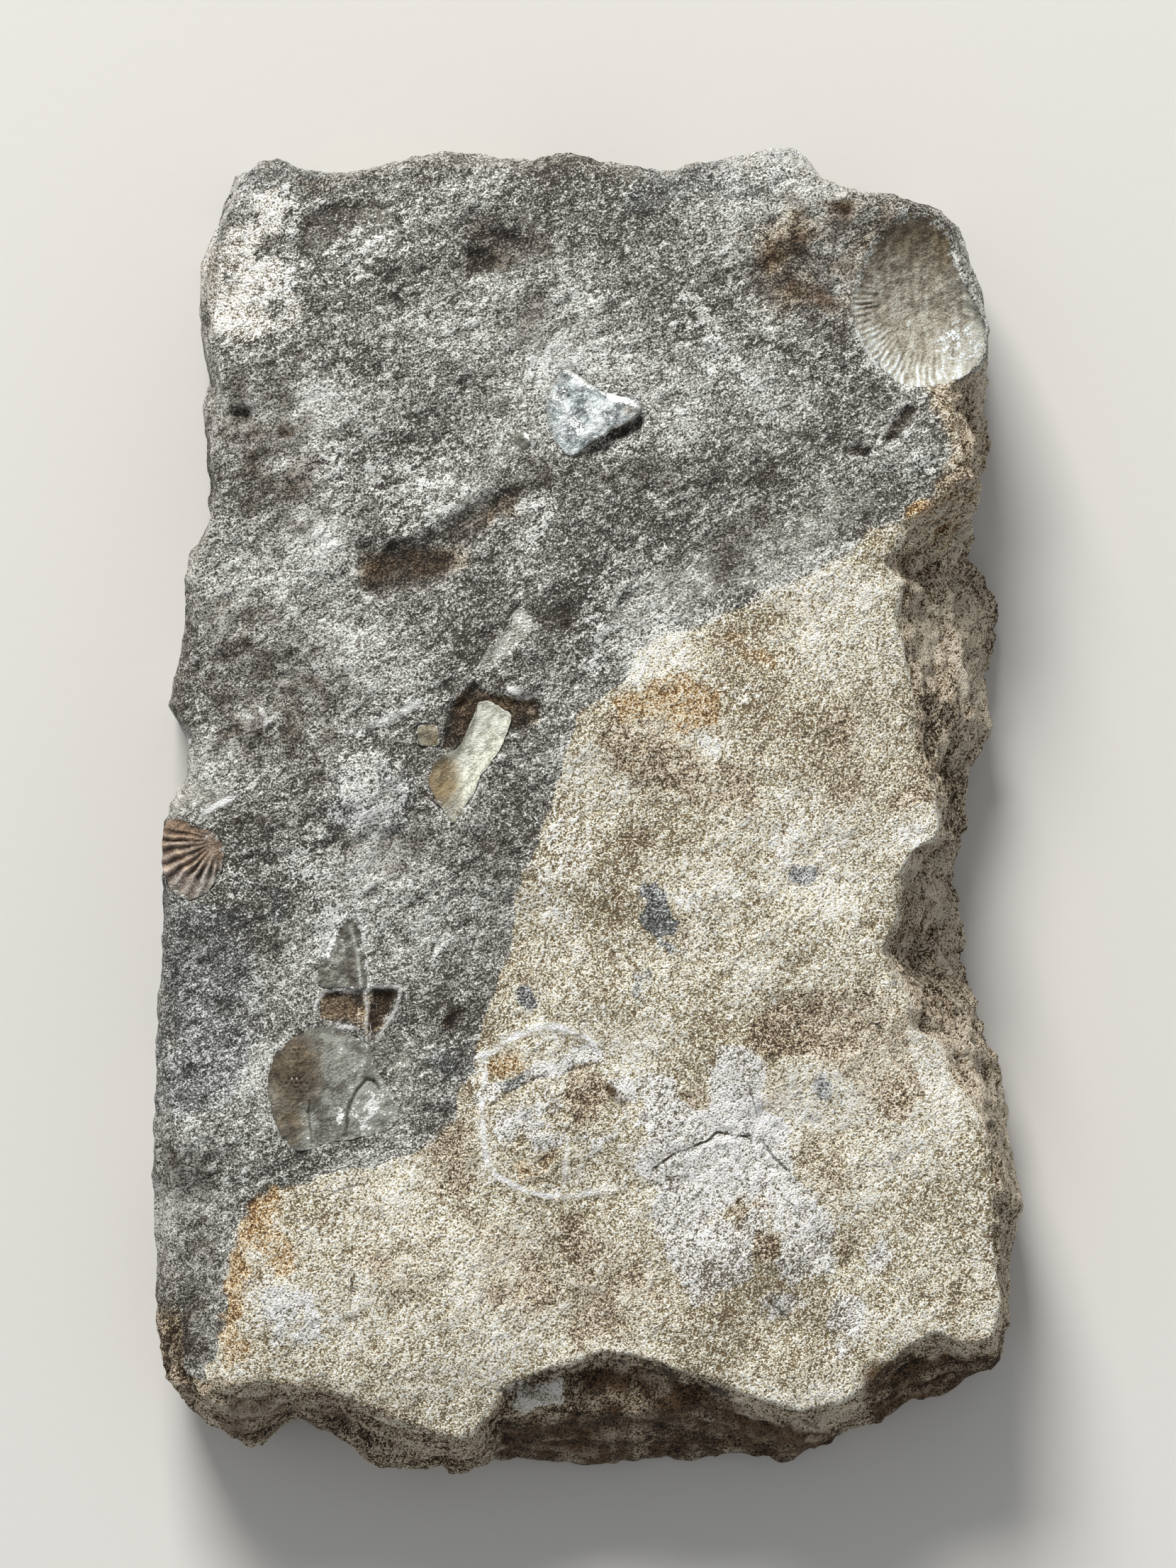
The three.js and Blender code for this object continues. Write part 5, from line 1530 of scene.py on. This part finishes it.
@dataclass(frozen=True)
class StoneFinish:
    """Finish of the stone: grey, with patches of other kinds where its marks say so."""

    ground: Palette = GREY_STONE
    patches: tuple[Patch, ...] = (
        Patch("tan", 0.35, 0.12, Palette.screen(
            (112, 96, 72), (180, 167, 138), (243, 236, 212), (255, 255, 250))),
        Patch("brown", 0.8, 0.35, Palette.screen(
            (70, 57, 44), (142, 124, 100), (208, 190, 160), (248, 242, 226))),
        Patch("flank", 0.5, 0.25, Palette.screen(
            (50, 39, 27), (122, 102, 76), (194, 172, 138), (246, 236, 216))),
        Patch("blue", 0.9, 0.25, Palette.screen(
            (52, 51, 48), (102, 103, 101), (152, 154, 151), (234, 236, 234))),
        Patch("ochre", 1.3, 0.3, Palette.screen(
            (92, 62, 36), (162, 128, 84), (222, 196, 150), (250, 243, 226))),
        Patch("lilac", 1.4, 0.25, Palette.screen(
            (108, 98, 82), (206, 201, 189), (252, 250, 242), (255, 255, 255))),
    )
    # Brown multiplied in where the stone is dirty and where shade is painted: in pits, hollows and on the
    # flanks.
    dirt_and_shade: Rgb = srgb(118, 98, 79)
    vein: Rgb = srgb(255, 255, 255)
    crack: Rgb = srgb(66, 57, 48)
    tan_turn: float = 66.0          # of the grain in the tan stone, degrees
    split_turn: float = 36.0        # of the short dark splits
    bed_stretch: tuple[float, ...] = (9.0, 9.0, 0.8)

    def build(self) -> bpy.types.Material:
        """Makes the material.

        Returns:
            The material, fed by the stone's marks.
        """
        s = Shader("rough_stone")
        p = s.places()
        grain, grit, fibre, crease = s.grains(p)
        grain = grain + (s.grain(p, self.tan_turn) - grain) * s.mark("tan")
        rub = grain * 1.6 + grit * 0.8
        calm = 1 - s.mark("smooth") * 0.75
        pale = s.mark("pale")
        dirt_and_shade = (s.mark("dirt_and_shade") + rub * 0.35).over(0.2, 0.9)
        crust = (pale * 0.9 + rub * 2.0).over(0.34, 0.6)
        yellow, flank = s.mark("tan").held(), s.mark("flank")
        crease = crease * (0.45 - yellow * 0.2)
        bedding = s.noise(s.laid(p, 0, self.bed_stretch), 1.5, 3, 0.65) - 0.5
        white = s.mark("lilac").held()
        # The grain that raises the bump also lifts the level: grains are painted lighter where they stand
        # up and darker where they sink, painted shade at grain size over the grain's own colour.
        rough_grain = (grain * (2.1 + flank * 1.2 + white * 0.9)
                       + grit * (3.0 + yellow * 0.8 + flank * 1.2 + white))
        # Painted light where a place stands over its surroundings, painted shade in hollows.
        level = (0.47 + yellow * 0.03 + white * 0.12 + bedding * flank * 2.2
                 + (rough_grain + fibre * (0.3 + flank * 0.3) - crease) * calm
                 + s.mark("shade") * 0.42 + s.mark("relief_shading") * 0.35 + crust * 0.4 - dirt_and_shade * 0.1)
        color = s.graded(level, self.steps(s, rub))
        # Brown darkening of dirty stone, and painted shade in pits, hollows and on the flanks.
        color = s.mix(dirt_and_shade, color, self.dirt_and_shade, "MULTIPLY")
        split = (s.thread(s.laid(p, self.split_turn, (2.6, 0.9, 1.0)), 1.9, 2, 0.02)
                 * (grain + s.mark("split")).over(-0.02, 0.06) * calm)
        color = self.seams(s, s.mix(split * 0.8, color, self.crack), rub)
        relief = grain * calm + grit * 0.4 + 0.5
        return s.finish(color, 0.92 - s.mark("smooth") * 0.15, s.bump(relief, 1.5), 0.3)

    def steps(self, s: Shader, rub: Socket) -> tuple[Feed, ...]:
        """The ground's four colours, with each patch mixed in where its tone lies."""
        shares = [(s.mark(patch.tone) + rub * (0.5 * patch.broken)).over(0.5 - patch.soft,
                                                                         0.5 + patch.soft)
                  for patch in self.patches]
        steps = []
        for step in fields(Palette):
            color: Feed = getattr(self.ground, step.name)
            for patch, share in zip(self.patches, shares):
                color = s.mix(share, color, getattr(patch.colors, step.name))
            steps.append(color)
        return tuple(steps)

    def seams(self, s: Shader, color: Socket, rub: Socket) -> Socket:
        """Draws the white veins and the dark cracks over a colour, frayed by the grain."""
        for seam, frayed, outer, inner, tint in (("vein", 1.5, 0.56, 0.3, self.vein),
                                                 ("crack", 0.3, 0.4, 0.24, self.crack)):
            share = (abs(s.mark(seam + "_side")) + rub * frayed).over(outer, inner)
            color = s.mix(share * s.mark(seam + "_near"), color, tint)
        return color


@dataclass
class Stone:
    """The slab itself, replaced by one detailed mesh."""

    fossils: list[Fossil]
    finish: StoneFinish = StoneFinish()
    cells_across: int = 200
    cells_along: int = 308
    solid_across: int = 35
    solid_along: int = 55
    foot_inset: float = 1.6
    flank_jitter: float = 1.1
    flank_lump: float = 3.0
    flank_rows: tuple[int, ...] = (9, 9, 8, 5)
    rim_wander: float = 0.45
    stain_wander: float = 0.9
    pit_wander: float = 0.9
    fold_height: float = 0.42
    bed_depth: float = 0.9              # of the stone under a fossil
    lowest_fossil: float = 8.0
    seam_edge: float = 0.4              # scaled distance that stands for a seam's own edge
    pushed_out: float = 0.8             # shares of a lump's size by which it moves a place
    pushed_up: float = 0.35
    facing_stations: int = 25           # over which the flank's facing is evened out
    cavity_cells: int = 13              # over which the surroundings' height is averaged

    def walk(self, side: Side, index: int, count: int) -> tuple[Array, Array, Array]:
        """Points along one side.

        Args:
            side: its drawing.
            index: 0 for the axis across, 1 for the axis along.
            count: how many steps it is cut in.

        Returns:
            Rim points, outline points and profile rows, in the drawing's direction.
        """
        t = np.linspace(0, 1, count + 1)

        def spaced(points: Outline, seed: int) -> Array:
            """Even steps along the axis, with a little wander."""
            p = np.array(points, float)
            along = p[0, index] + (p[-1, index] - p[0, index]) * t
            order = 1 if p[-1, index] > p[0, index] else -1
            across = np.interp(along, p[::order, index], p[::order, 1 - index])
            line = np.column_stack([along, across] if index == 0 else [across, along])
            fade = ramp(0, 0.02, t) * ramp(1, 0.98, t)
            line[:, 1 - index] += rough(on_plane(*line.T), 4.5, seed, 3) * self.rim_wander * fade
            return line

        rows = np.array(side.profile)
        profile = np.column_stack([np.interp(t, rows[:, 0], column) for column in rows[:, 1:].T])
        return spaced(side.rim, 21), spaced(side.outline, 22), profile

    def fill(self, back: Array, right: Array, front: Array, left: Array) -> Array:
        """Grid of x, y that fills the rim.

        Args:
            back: points from left to right.
            right: points from front to back.
            front: points from left to right.
            left: points from front to back.

        Returns:
            Rows along, columns across, x and y last.
        """
        s = np.linspace(0, 1, self.cells_across + 1)[None, :, None]
        t = np.linspace(0, 1, self.cells_along + 1)[:, None, None]
        corners = ((1 - s) * (1 - t) * front[0] + s * (1 - t) * front[-1]
                   + (1 - s) * t * back[0] + s * t * back[-1])
        return ((1 - s) * left[:, None] + s * right[:, None]
                + (1 - t) * front[None] + t * back[None] - corners)

    def relief(self, p: Array, flat: Array) -> tuple[Array, Array]:
        """Cuts the pits and adds the stone's roughness.

        Args:
            p: rows of x, y, z.
            flat: 1 on the upper face, 0 on the flanks.

        Returns:
            What is added to the height, and how far each row is darkened in a pit: dirty stone and
            painted shade.
        """
        x, y = p[:, 0], p[:, 1]
        tan, folds = self.tone(Tone.TAN, x, y), self.tone(Tone.FOLDS, x, y)
        smooth = self.tone(Tone.SMOOTH, x, y)
        q = np.column_stack([*strayed(p, 1.2, 6, 31), p[:, 2]])
        hackle, crumple = (sum(layer.at(q) for layer in layers) for layers in (HACKLE, CRUMPLE))
        add = (hackle * (1 - tan) + crumple * tan) * (1 - 0.75 * smooth)
        add = add + self.fold_height * folds * rough(q, 1.9, 38, 3, Grain.RIDGED, (1.8, 0.8), 25)
        dirt_and_shade = np.zeros(len(p))
        wobble = self.pit_wander * rough(p, 2.4, 37, 4)
        for pit in PITS.values():
            cx, cy = np.mean(pit.outline, axis=0)
            away = inside_distance(pit.outline, x, y, 3) + wobble * min(1, pit.wall)
            inside = ramp(-pit.wall, pit.wall, away) * flat
            depth = np.maximum(0.3, pit.depth - pit.climb[0] * (x - cx) - pit.climb[1] * (y - cy))
            add = add - inside * depth
            # A pit is darkened more where it is deeper: partly dirty stone, partly painted shade.
            dirt_and_shade = np.maximum(dirt_and_shade, inside * pit.dirt_and_shade * ramp(0, 0.7, depth))
        for seam in VEINS + CRACKS:
            away = np.abs(line_distance(seam.points, x, y, 2.5))
            add = add + seam.rise * ramp(2.2 * seam.half_width + 0.3, 0.1, away) * flat
        return add, dirt_and_shade

    def tone(self, tone: Tone, x: Array, y: Array) -> Array:
        """Strongest stain of one tone at each place."""
        x, y = strayed(on_plane(x, y), self.stain_wander, 3.2, 62, 4)
        softer = 2.4 * ramp(0, 22, x) * ramp(8, 22, y) if tone is Tone.TAN else 0
        return np.max([stain.share(x, y, softer) for stain in STAINS[tone]], axis=0)

    def beds(self, x: Array, y: Array, z: Array) -> Array:
        """Lowers the stone under the fossils that lie in it.

        Args:
            x: places across.
            y: places along.
            z: heights before.

        Returns:
            Heights after.
        """
        for fossil in self.fossils:
            reach = np.ptp(fossil.edge, axis=0).max()
            close = np.hypot(x - fossil.center[0], y - fossil.center[1]) < reach
            cx, cy = x[close], y[close]
            q = fossil.share(cx, cy)
            inner = np.minimum(q, 1)
            ground = UPPER.height(cx, cy)
            bed = ground + fossil.lift(cx, cy, inner) - self.bed_depth * ramp(1.0, 0.93, q)
            edge = ground + fossil.lift(cx, cy, np.ones(q.shape))
            bank = z[close] + (edge - z[close]) * fossil.merge(cx, cy) * ramp(1.3, 1.0, q)
            z[close] = np.where(q < 1.0, np.minimum(z[close], bed), bank)
        return z

    def seams(self, seams: list[Seam], x: Array, y: Array) -> tuple[Array, Array]:
        """Measures the nearest seam.

        Args:
            seams: the seams.
            x: places across.
            y: places along.

        Returns:
            Distance, scaled so that seam_edge is the seam's own edge, with the side as its sign;
            and how strongly it shows.
        """
        side, near = np.full(x.shape, FAR), np.zeros(x.shape)
        for seam in seams:
            d = line_distance(seam.points, x, y, 3)
            closer = np.abs(d) < np.abs(side)
            side = np.where(closer, d * self.seam_edge / seam.half_width, side)
            near = np.where(closer, seam.strength * ramp(1.8, 0.8, np.abs(d)), near)
        near = near * ramp(-0.45, 0.15, rough(on_plane(x, y), 2.4, 59, 3))
        return np.clip(side, -3, 3), near

    def flank(self, rim: Array, outline: Array, profile: Array, station: Array) -> Array:
        """Sections of the flank from the rim to the foot.

        Args:
            rim: rows of x, y.
            outline: rows of x, y of the widest line.
            profile: rows of f1, d1, f2, d2, z.
            station: the solid's own count of stations at each row.

        Returns:
            Rows of the flank, each with one x, y, z for every station.
        """
        way = outline - rim
        reach = np.hypot(*way.T)
        u = way / reach[:, None]
        f1, d1, f2, d2, widest = profile.T
        top = UPPER.height(rim[:, 0], rim[:, 1])

        def wander(seed: float) -> Array:
            """The solid's own wander at each station."""
            along = station / self.flank_lump
            return self.flank_jitter * value_noise(along, np.full(along.shape, seed * 0.6), 3)

        def between(f: Array, d: Array, seed: float) -> Array:
            """Points at a share of the way out."""
            out = reach * f + wander(seed) * np.minimum(1, reach * f / 3)
            return np.column_stack([rim + u * out[:, None], top - d + wander(seed + 1)])

        inset = (self.foot_inset + wander(7))[:, None]
        corners = [np.column_stack([rim, top]), between(f1, d1, 3), between(f2, d2, 5),
                   np.column_stack([outline, widest + 2 * wander(9)]),
                   np.column_stack([outline - u * inset, np.zeros(len(rim))])]
        rows = [corners[0]]
        for start, end, count in zip(corners, corners[1:], self.flank_rows):
            rows += [start + (end - start) * k / count for k in range(1, count + 1)]
        return np.array(rows[1:])

    def build(self) -> bpy.types.Object:
        """Makes and dresses the stone.

        Returns:
            The piece, standing for its node.
        """
        na, nl = self.cells_across, self.cells_along
        front, right, back, left = (self.walk(side, i % 2, nl if i % 2 else na)
                                    for i, side in enumerate((FRONT, RIGHT, BACK, LEFT)))
        right = tuple(part[::-1] for part in right)
        for part in (0, 1):
            front[part][0], front[part][-1] = left[part][0], right[part][0]
            back[part][0], back[part][-1] = left[part][-1], right[part][-1]
        grid = self.fill(back[0], right[0], front[0], left[0])
        top = grid.reshape(-1, 2)
        numbers = np.arange(len(top)).reshape(nl + 1, na + 1)
        loop = np.concatenate([numbers[0, :-1], numbers[:-1, -1], numbers[-1, :0:-1],
                               numbers[:0:-1, 0]])
        sides = [front, right, tuple(part[::-1] for part in back), tuple(part[::-1] for part in left)]
        rim, outline, profile = (np.vstack([side[part][:-1] for side in sides]) for part in range(3))
        solid = [self.solid_across, self.solid_along] * 2
        steps = [na, nl, na, nl]
        starts = np.cumsum([0, *solid[:-1]])
        station = np.concatenate([start + np.arange(n) * cells / n
                                  for start, cells, n in zip(starts, solid, steps)])
        rows = self.flank(rim, outline, profile, station)
        vertices, marks = self.roughen(top, rows, rim, outline)
        faces, uv = self.skin(numbers, loop, len(rows), vertices)
        piece = make_mesh("matrix_stone", vertices, faces, marks, uv, flat_faces=1)
        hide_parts("matrix_slab")
        piece.data.materials.append(self.finish.build())
        return piece

    def roughen(self, top: Array, rows: Array, rim: Array,
                outline: Array) -> tuple[Array, Marks]:
        """Gives every point its place and its marks.

        Args:
            top: x, y of the upper face.
            rows: the flank's sections.
            rim: x, y of the rim at each station.
            outline: x, y of the widest line at each station.

        Returns:
            All points, and the marks.
        """
        count = rows.shape[1]
        height = UPPER.height(*top.T)
        flank = rows.reshape(-1, 3)
        base = np.vstack([np.column_stack([top, height]), flank])
        is_top = np.arange(len(base)) < len(top)
        add, dirt_and_shade = self.relief(base, is_top.astype(float))
        share = np.repeat(np.arange(1, len(rows) + 1) / len(rows), count)
        push = self.lumps(flank) * ramp(0, 0.12, share)
        moved = flank.copy()
        moved[:, :2] += (np.tile(self.facing(rim, outline), (len(rows), 1))
                         * (push * self.pushed_out)[:, None])
        moved[:, 2] += (add[~is_top] * ramp(0.35, 0, share)
                        + push * self.pushed_up * ramp(1, 0.8, share))
        moved[-count:, 2] = 0
        vertices = np.vstack([np.column_stack([top, height + add[is_top]]), moved])
        body = vertices[:, 2] > self.lowest_fossil
        vertices[body, 2] = self.beds(*vertices[body].T)
        vertices[:, 2] = np.maximum(vertices[:, 2], 0)
        # Height over the surroundings, and on the flank how far lumps stand out: painted light on what
        # stands out, painted shade in hollows.
        relief_shading = np.concatenate([self.relief_shading(vertices[:len(top), 2]), 0.7 * push])
        down = np.concatenate([np.zeros(len(top)), share])
        return vertices, self.marks(base, down, relief_shading, dirt_and_shade)

    def front(self, y: Array) -> Array:
        """1 on the flank in front, 0 elsewhere."""
        return ramp(-70, -80, y)

    def broken(self, x: Array, y: Array) -> Array:
        """How roughly the flank is broken: most on the right and in front."""
        return ramp(30, 44, x) * ramp(64, 50, y) + ramp(-68, -76, y)

    def facing(self, rim: Array, outline: Array) -> Array:
        """Which way the flank faces at each station, evened out along the rim."""
        way = outline - rim
        u = way / np.hypot(*way.T)[:, None]
        over, weights = self.facing_stations // 2, soft_weights(self.facing_stations)
        u = np.column_stack([np.convolve(np.r_[c[-over:], c, c[:over]], weights, "valid")
                             for c in u.T])
        return u / np.hypot(*u.T)[:, None]

    def lumps(self, flank: Array) -> Array:
        """Lumps and ledges of the flank: how far each place is pushed, in mm."""
        front = self.front(flank[:, 1])
        calm = np.clip(0.3 + self.broken(*flank.T[:2]), 0, 1) * (1 - 0.45 * front)
        lumps = BROAD_LUMPS.at(flank)
        for size, wavelength, seed, kind in ((1.3, 4.4, 42, Grain.RIDGED), (0.9, 2, 43, Grain.SOFT)):
            along_y, along_x = (rough(flank, wavelength, seed, 4, kind, stretch)
                                for stretch in ((0.8, 1.9), (1.9, 0.8)))
            lumps = lumps + size * calm * (along_y * (1 - front) + along_x * front)
        layer = flank[:, 2] * 0.3 + 0.5 * rough(flank, 14, 44, 2)
        ledges = (np.abs((layer % 1.0) - 0.5) * 2 - 0.5) * (0.5 + 0.6 * front)
        return lumps + ledges

    def marks(self, base: Array, down: Array, relief_shading: Array, dirt_and_shade: Array) -> Marks:
        """Values for the finish.

        Args:
            base: places before they are roughened.
            down: share of the way down the flank, 0 on the upper face.
            relief_shading: how far each place stands over its surroundings, in mm; painted lighter where
                it stands out and darker in hollows.
            dirt_and_shade: how far each is darkened in a pit, as dirty stone and as painted shade.

        Returns:
            The values on the points, by name.
        """
        astray = 9 * ramp(0, 0.5, down) * (1 - self.front(base[:, 1]))
        x, y = strayed(base, astray, 9, 65, 3)
        marks = {tone.value: self.tone(tone, x, y) for tone in Tone}
        for seed, (tone, (amount, wavelength)) in enumerate(BREAKS.items(), 70):
            mark = marks[tone.value]
            marks[tone.value] = mark + amount * rough(base, wavelength, seed, 4) * ramp(0, 0.3, mark)
        outer = ramp(0, 0.1, down)
        drift = 0.5 * ramp(0.1, 0.9, rough(base, 11, 55, 4)) * (1 - marks["tan"])
        # Browner in hollows: partly dirty stone, partly painted shade.
        hollow = 0.5 * ramp(-0.15, -0.9, relief_shading)
        rust = 0.6 * ramp(0.15, 0.8, rough(base, 9, 58, 4)) * marks["tan"]
        marks["flank"] = outer * np.clip(0.25 + self.broken(*base.T[:2]), 0, 1)
        # Darkening from drawn patches, pits, random drift, painted shade in hollows and painted shade
        # over the whole flank.
        marks["dirt_and_shade"] = np.max([marks["dirt_and_shade"], dirt_and_shade, drift, hollow, 0.36 * outer], axis=0)
        marks["relief_shading"] = relief_shading
        marks["shade"] = sum(layer.at(base) for layer in SHADE)
        marks["brown"] = np.maximum(marks["brown"], rust)
        marks["lilac"] -= 0.8 * self.tone(Tone.BROWN, x, y)
        marks["split"] = 0.12 * rough(base, 5, 54, 3) + 0.04 * marks["tan"] + 0.1 * marks["folds"]
        marks["vein_side"], marks["vein_near"] = self.seams(VEINS, x, y)
        marks["crack_side"], marks["crack_near"] = self.seams(CRACKS, x, y)
        return marks

    def relief_shading(self, z: Array) -> Array:
        """How far each point of the upper face stands over its surroundings, in mm, for painted light and
        shade.
        """
        grid = z.reshape(self.cells_along + 1, self.cells_across + 1)
        blurred, over = grid, self.cavity_cells // 2
        for axis in (0, 1):
            padded = np.pad(blurred, [(over, over) if a == axis else (0, 0) for a in (0, 1)], "edge")
            blurred = np.apply_along_axis(np.convolve, axis, padded,
                                          soft_weights(self.cavity_cells), "valid")
        return (grid - blurred).ravel()

    def skin(self, numbers: Array, loop: Array, rows: int,
             vertices: Array) -> tuple[list, Array]:
        """Faces and texture map.

        Args:
            numbers: grid of the upper face's point numbers.
            loop: numbers of the rim's points.
            rows: how many rows the flank has.
            vertices: all points.

        Returns:
            The faces, the last being the foot, and u, v for each corner.
        """
        quads = np.stack([numbers[:-1, :-1], numbers[:-1, 1:], numbers[1:, 1:], numbers[1:, :-1]],
                         axis=-1).reshape(-1, 4)
        count = len(loop)
        rings = [loop] + [numbers.size + k * count + np.arange(count) for k in range(rows)]
        walls = np.vstack([np.column_stack([upper, lower, np.roll(lower, -1), np.roll(upper, -1)])
                           for upper, lower in zip(rings, rings[1:])])
        foot = rings[-1][::-1]
        faces = [tuple(face) for face in np.vstack([quads, walls]).tolist()] + [tuple(foot.tolist())]
        flat = vertices[:, :2]
        lo, size = flat.min(0), np.ptp(flat, axis=0)[1]
        top_uv = (flat[quads.ravel()] - lo) / size * 0.96 + 0.01
        station = np.arange(count)
        ends = np.cumsum([0, self.cells_across, self.cells_along, self.cells_across,
                          self.cells_along])
        side = np.searchsorted(ends, station, "right") - 1
        along = (station - ends[side]) / (ends[side + 1] - ends[side])
        step = 1 / (ends[side + 1] - ends[side])
        length = np.where(side % 2, 0.95, 0.62)
        column = np.array([0.70, 0.86, 0.78, 0.94])[side] - 0.045
        ring = np.arange(rows)[:, None] / rows * 0.07

        def corner(a: Array, r: Array) -> Array:
            """u, v of a station and ring."""
            return np.stack([column + r, 0.015 + length * (along + a) + 0 * r], axis=-1)

        down = 0.07 / rows
        walls_uv = np.stack([corner(0, ring), corner(0, ring + down), corner(step, ring + down),
                             corner(step, ring)], axis=2).reshape(-1, 2)
        foot_uv = (flat[foot] - lo) / size * [0.22, 0.3] + [0.655, 0.66]
        return faces, np.vstack([top_uv, walls_uv, foot_uv])


@dataclass
class Bead:
    """Small round bead that stands in the upper face."""

    at: Point = (-9.2, 52)
    radius: float = 1.35
    sunk: float = 0.35
    turns: int = 40
    rings: int = 24

    def build(self) -> bpy.types.Object:
        """Makes and dresses the bead.

        Returns:
            The piece.
        """
        x0, y0 = self.at
        height = UPPER.height(np.array([x0]), np.array([y0]))[0] - self.sunk
        polar = np.linspace(0, math.pi, self.rings + 1)[1:-1]
        around = np.arange(self.turns) * 2 * math.pi / self.turns
        ring = np.stack([np.outer(np.sin(polar), np.cos(around)),
                         np.outer(np.sin(polar), np.sin(around)),
                         np.outer(np.cos(polar), np.ones(self.turns))], axis=-1).reshape(-1, 3)
        unit = np.vstack([[(0, 0, 1)], ring, [(0, 0, -1)]])
        dent = 0.35 * blob(unit[:, 0], unit[:, 1], -0.15, -0.2, 0.75, 0.75) * (unit[:, 2] > 0)
        size = self.radius * (1 - dent + 0.05 * rough(unit, 0.7, 61, 2))
        vertices = unit * size[:, None] + [x0, y0, height]
        n, last = self.turns, len(unit) - 1
        faces = fan(0, 1, n)
        for ring in range(self.rings - 2):
            faces += band(1 + ring * n, 1 + (ring + 1) * n, n)
        faces += [(a, foot, b) for foot, a, b in fan(last, 1 + (self.rings - 2) * n, n)]
        bright = blob(unit[:, 0], unit[:, 1], 0.65, 0.6, 0.8, 0.8)
        marks = {"tone": 0.45 + 0.4 * bright, "warm": 0 * bright, "frost": 0.9 * bright,
                 "line": 0 * bright, "crust": 0.3 - 0.3 * bright}
        piece = make_mesh("round_bead", vertices, faces, marks, None)
        piece.data.materials.append(HEAD_FINISH.build())
        return piece


# ---------------------------------------------------------------- stage

@dataclass(frozen=True)
class Studio:
    """Floor, lights and camera, in metres."""

    floor_size: float = 6.0
    floor_dark: Rgb = srgb(190, 188, 184)
    floor_light: Rgb = srgb(198, 196, 192)
    frame_height: float = 0.2212
    frame_plane: float = 0.026
    frame_middle: float = 0.0037
    camera_distance: float = 2.0
    sensor: float = 36.0                # mm, as lenses are measured
    clip: tuple[float, float] = (0.05, 20)
    key_power: float = 92.0
    key_size: float = 0.9
    key_place: tuple[float, float, float] = (-0.5, 1.84, 1.48)
    key_color: Rgb = (1.0, 0.985, 0.96)
    sky: float = 0.5
    sky_color: Rgb = (0.96, 0.98, 1.0)

    def floor(self) -> None:
        """Lays a plain pale floor."""
        half = self.floor_size / 2
        mesh = bpy.data.meshes.new("floor")
        mesh.from_pydata([(-half, -half, 0), (half, -half, 0), (half, half, 0), (-half, half, 0)],
                         [], [(0, 1, 2, 3)])
        place("floor", mesh)
        s = Shader("pale_floor")
        p = s.places()
        color = s.mix(s.noise(p, 300, 2), self.floor_dark, self.floor_light)
        mesh.materials.append(s.finish(color, 0.8, s.bump(s.noise(p, 2, 2), 0.02), 0.2))

    def lights(self) -> None:
        """Hangs one soft key light behind the slab, under an even sky."""
        data = bpy.data.lights.new("key", "AREA")
        data.energy, data.size, data.color = self.key_power, self.key_size, self.key_color
        key = place("key", data)
        key.location = self.key_place
        aim = -np.array(self.key_place)
        key.rotation_euler = (math.atan2(np.hypot(aim[0], aim[1]), -aim[2]), 0,
                              math.atan2(-aim[0], aim[1]))
        world = bpy.data.worlds.new("sky")
        world.use_nodes = True
        background = world.node_tree.nodes["Background"]
        background.inputs["Color"].default_value = (*self.sky_color, 1.0)
        background.inputs["Strength"].default_value = self.sky
        bpy.context.scene.world = world

    def camera(self) -> None:
        """Looks straight down on the slab, with the frame fitted round it."""
        data = bpy.data.cameras.new("camera")
        data.sensor_width = self.sensor
        data.lens = self.sensor * self.camera_distance / self.frame_height
        data.clip_start, data.clip_end = self.clip
        camera = place("camera", data)
        camera.location = (0, self.frame_middle, self.frame_plane + self.camera_distance)
        bpy.context.scene.camera = camera

    def build(self) -> None:
        """Sets the whole stage."""
        self.floor()
        self.lights()
        self.camera()
        bpy.context.scene.view_settings.view_transform = "Standard"


def main() -> None:
    """Builds the stage and every piece, and logs how many faces each has."""
    logging.basicConfig(level=logging.INFO, format="%(name)s: %(message)s")
    Studio().build()
    fossils = make_fossils()
    for maker in (Stone(fossils), *fossils, Bead()):
        piece = maker.build()
        LOG.info("%s: %d faces", piece.name, len(piece.data.polygons))


if __name__ == "__main__":
    main()
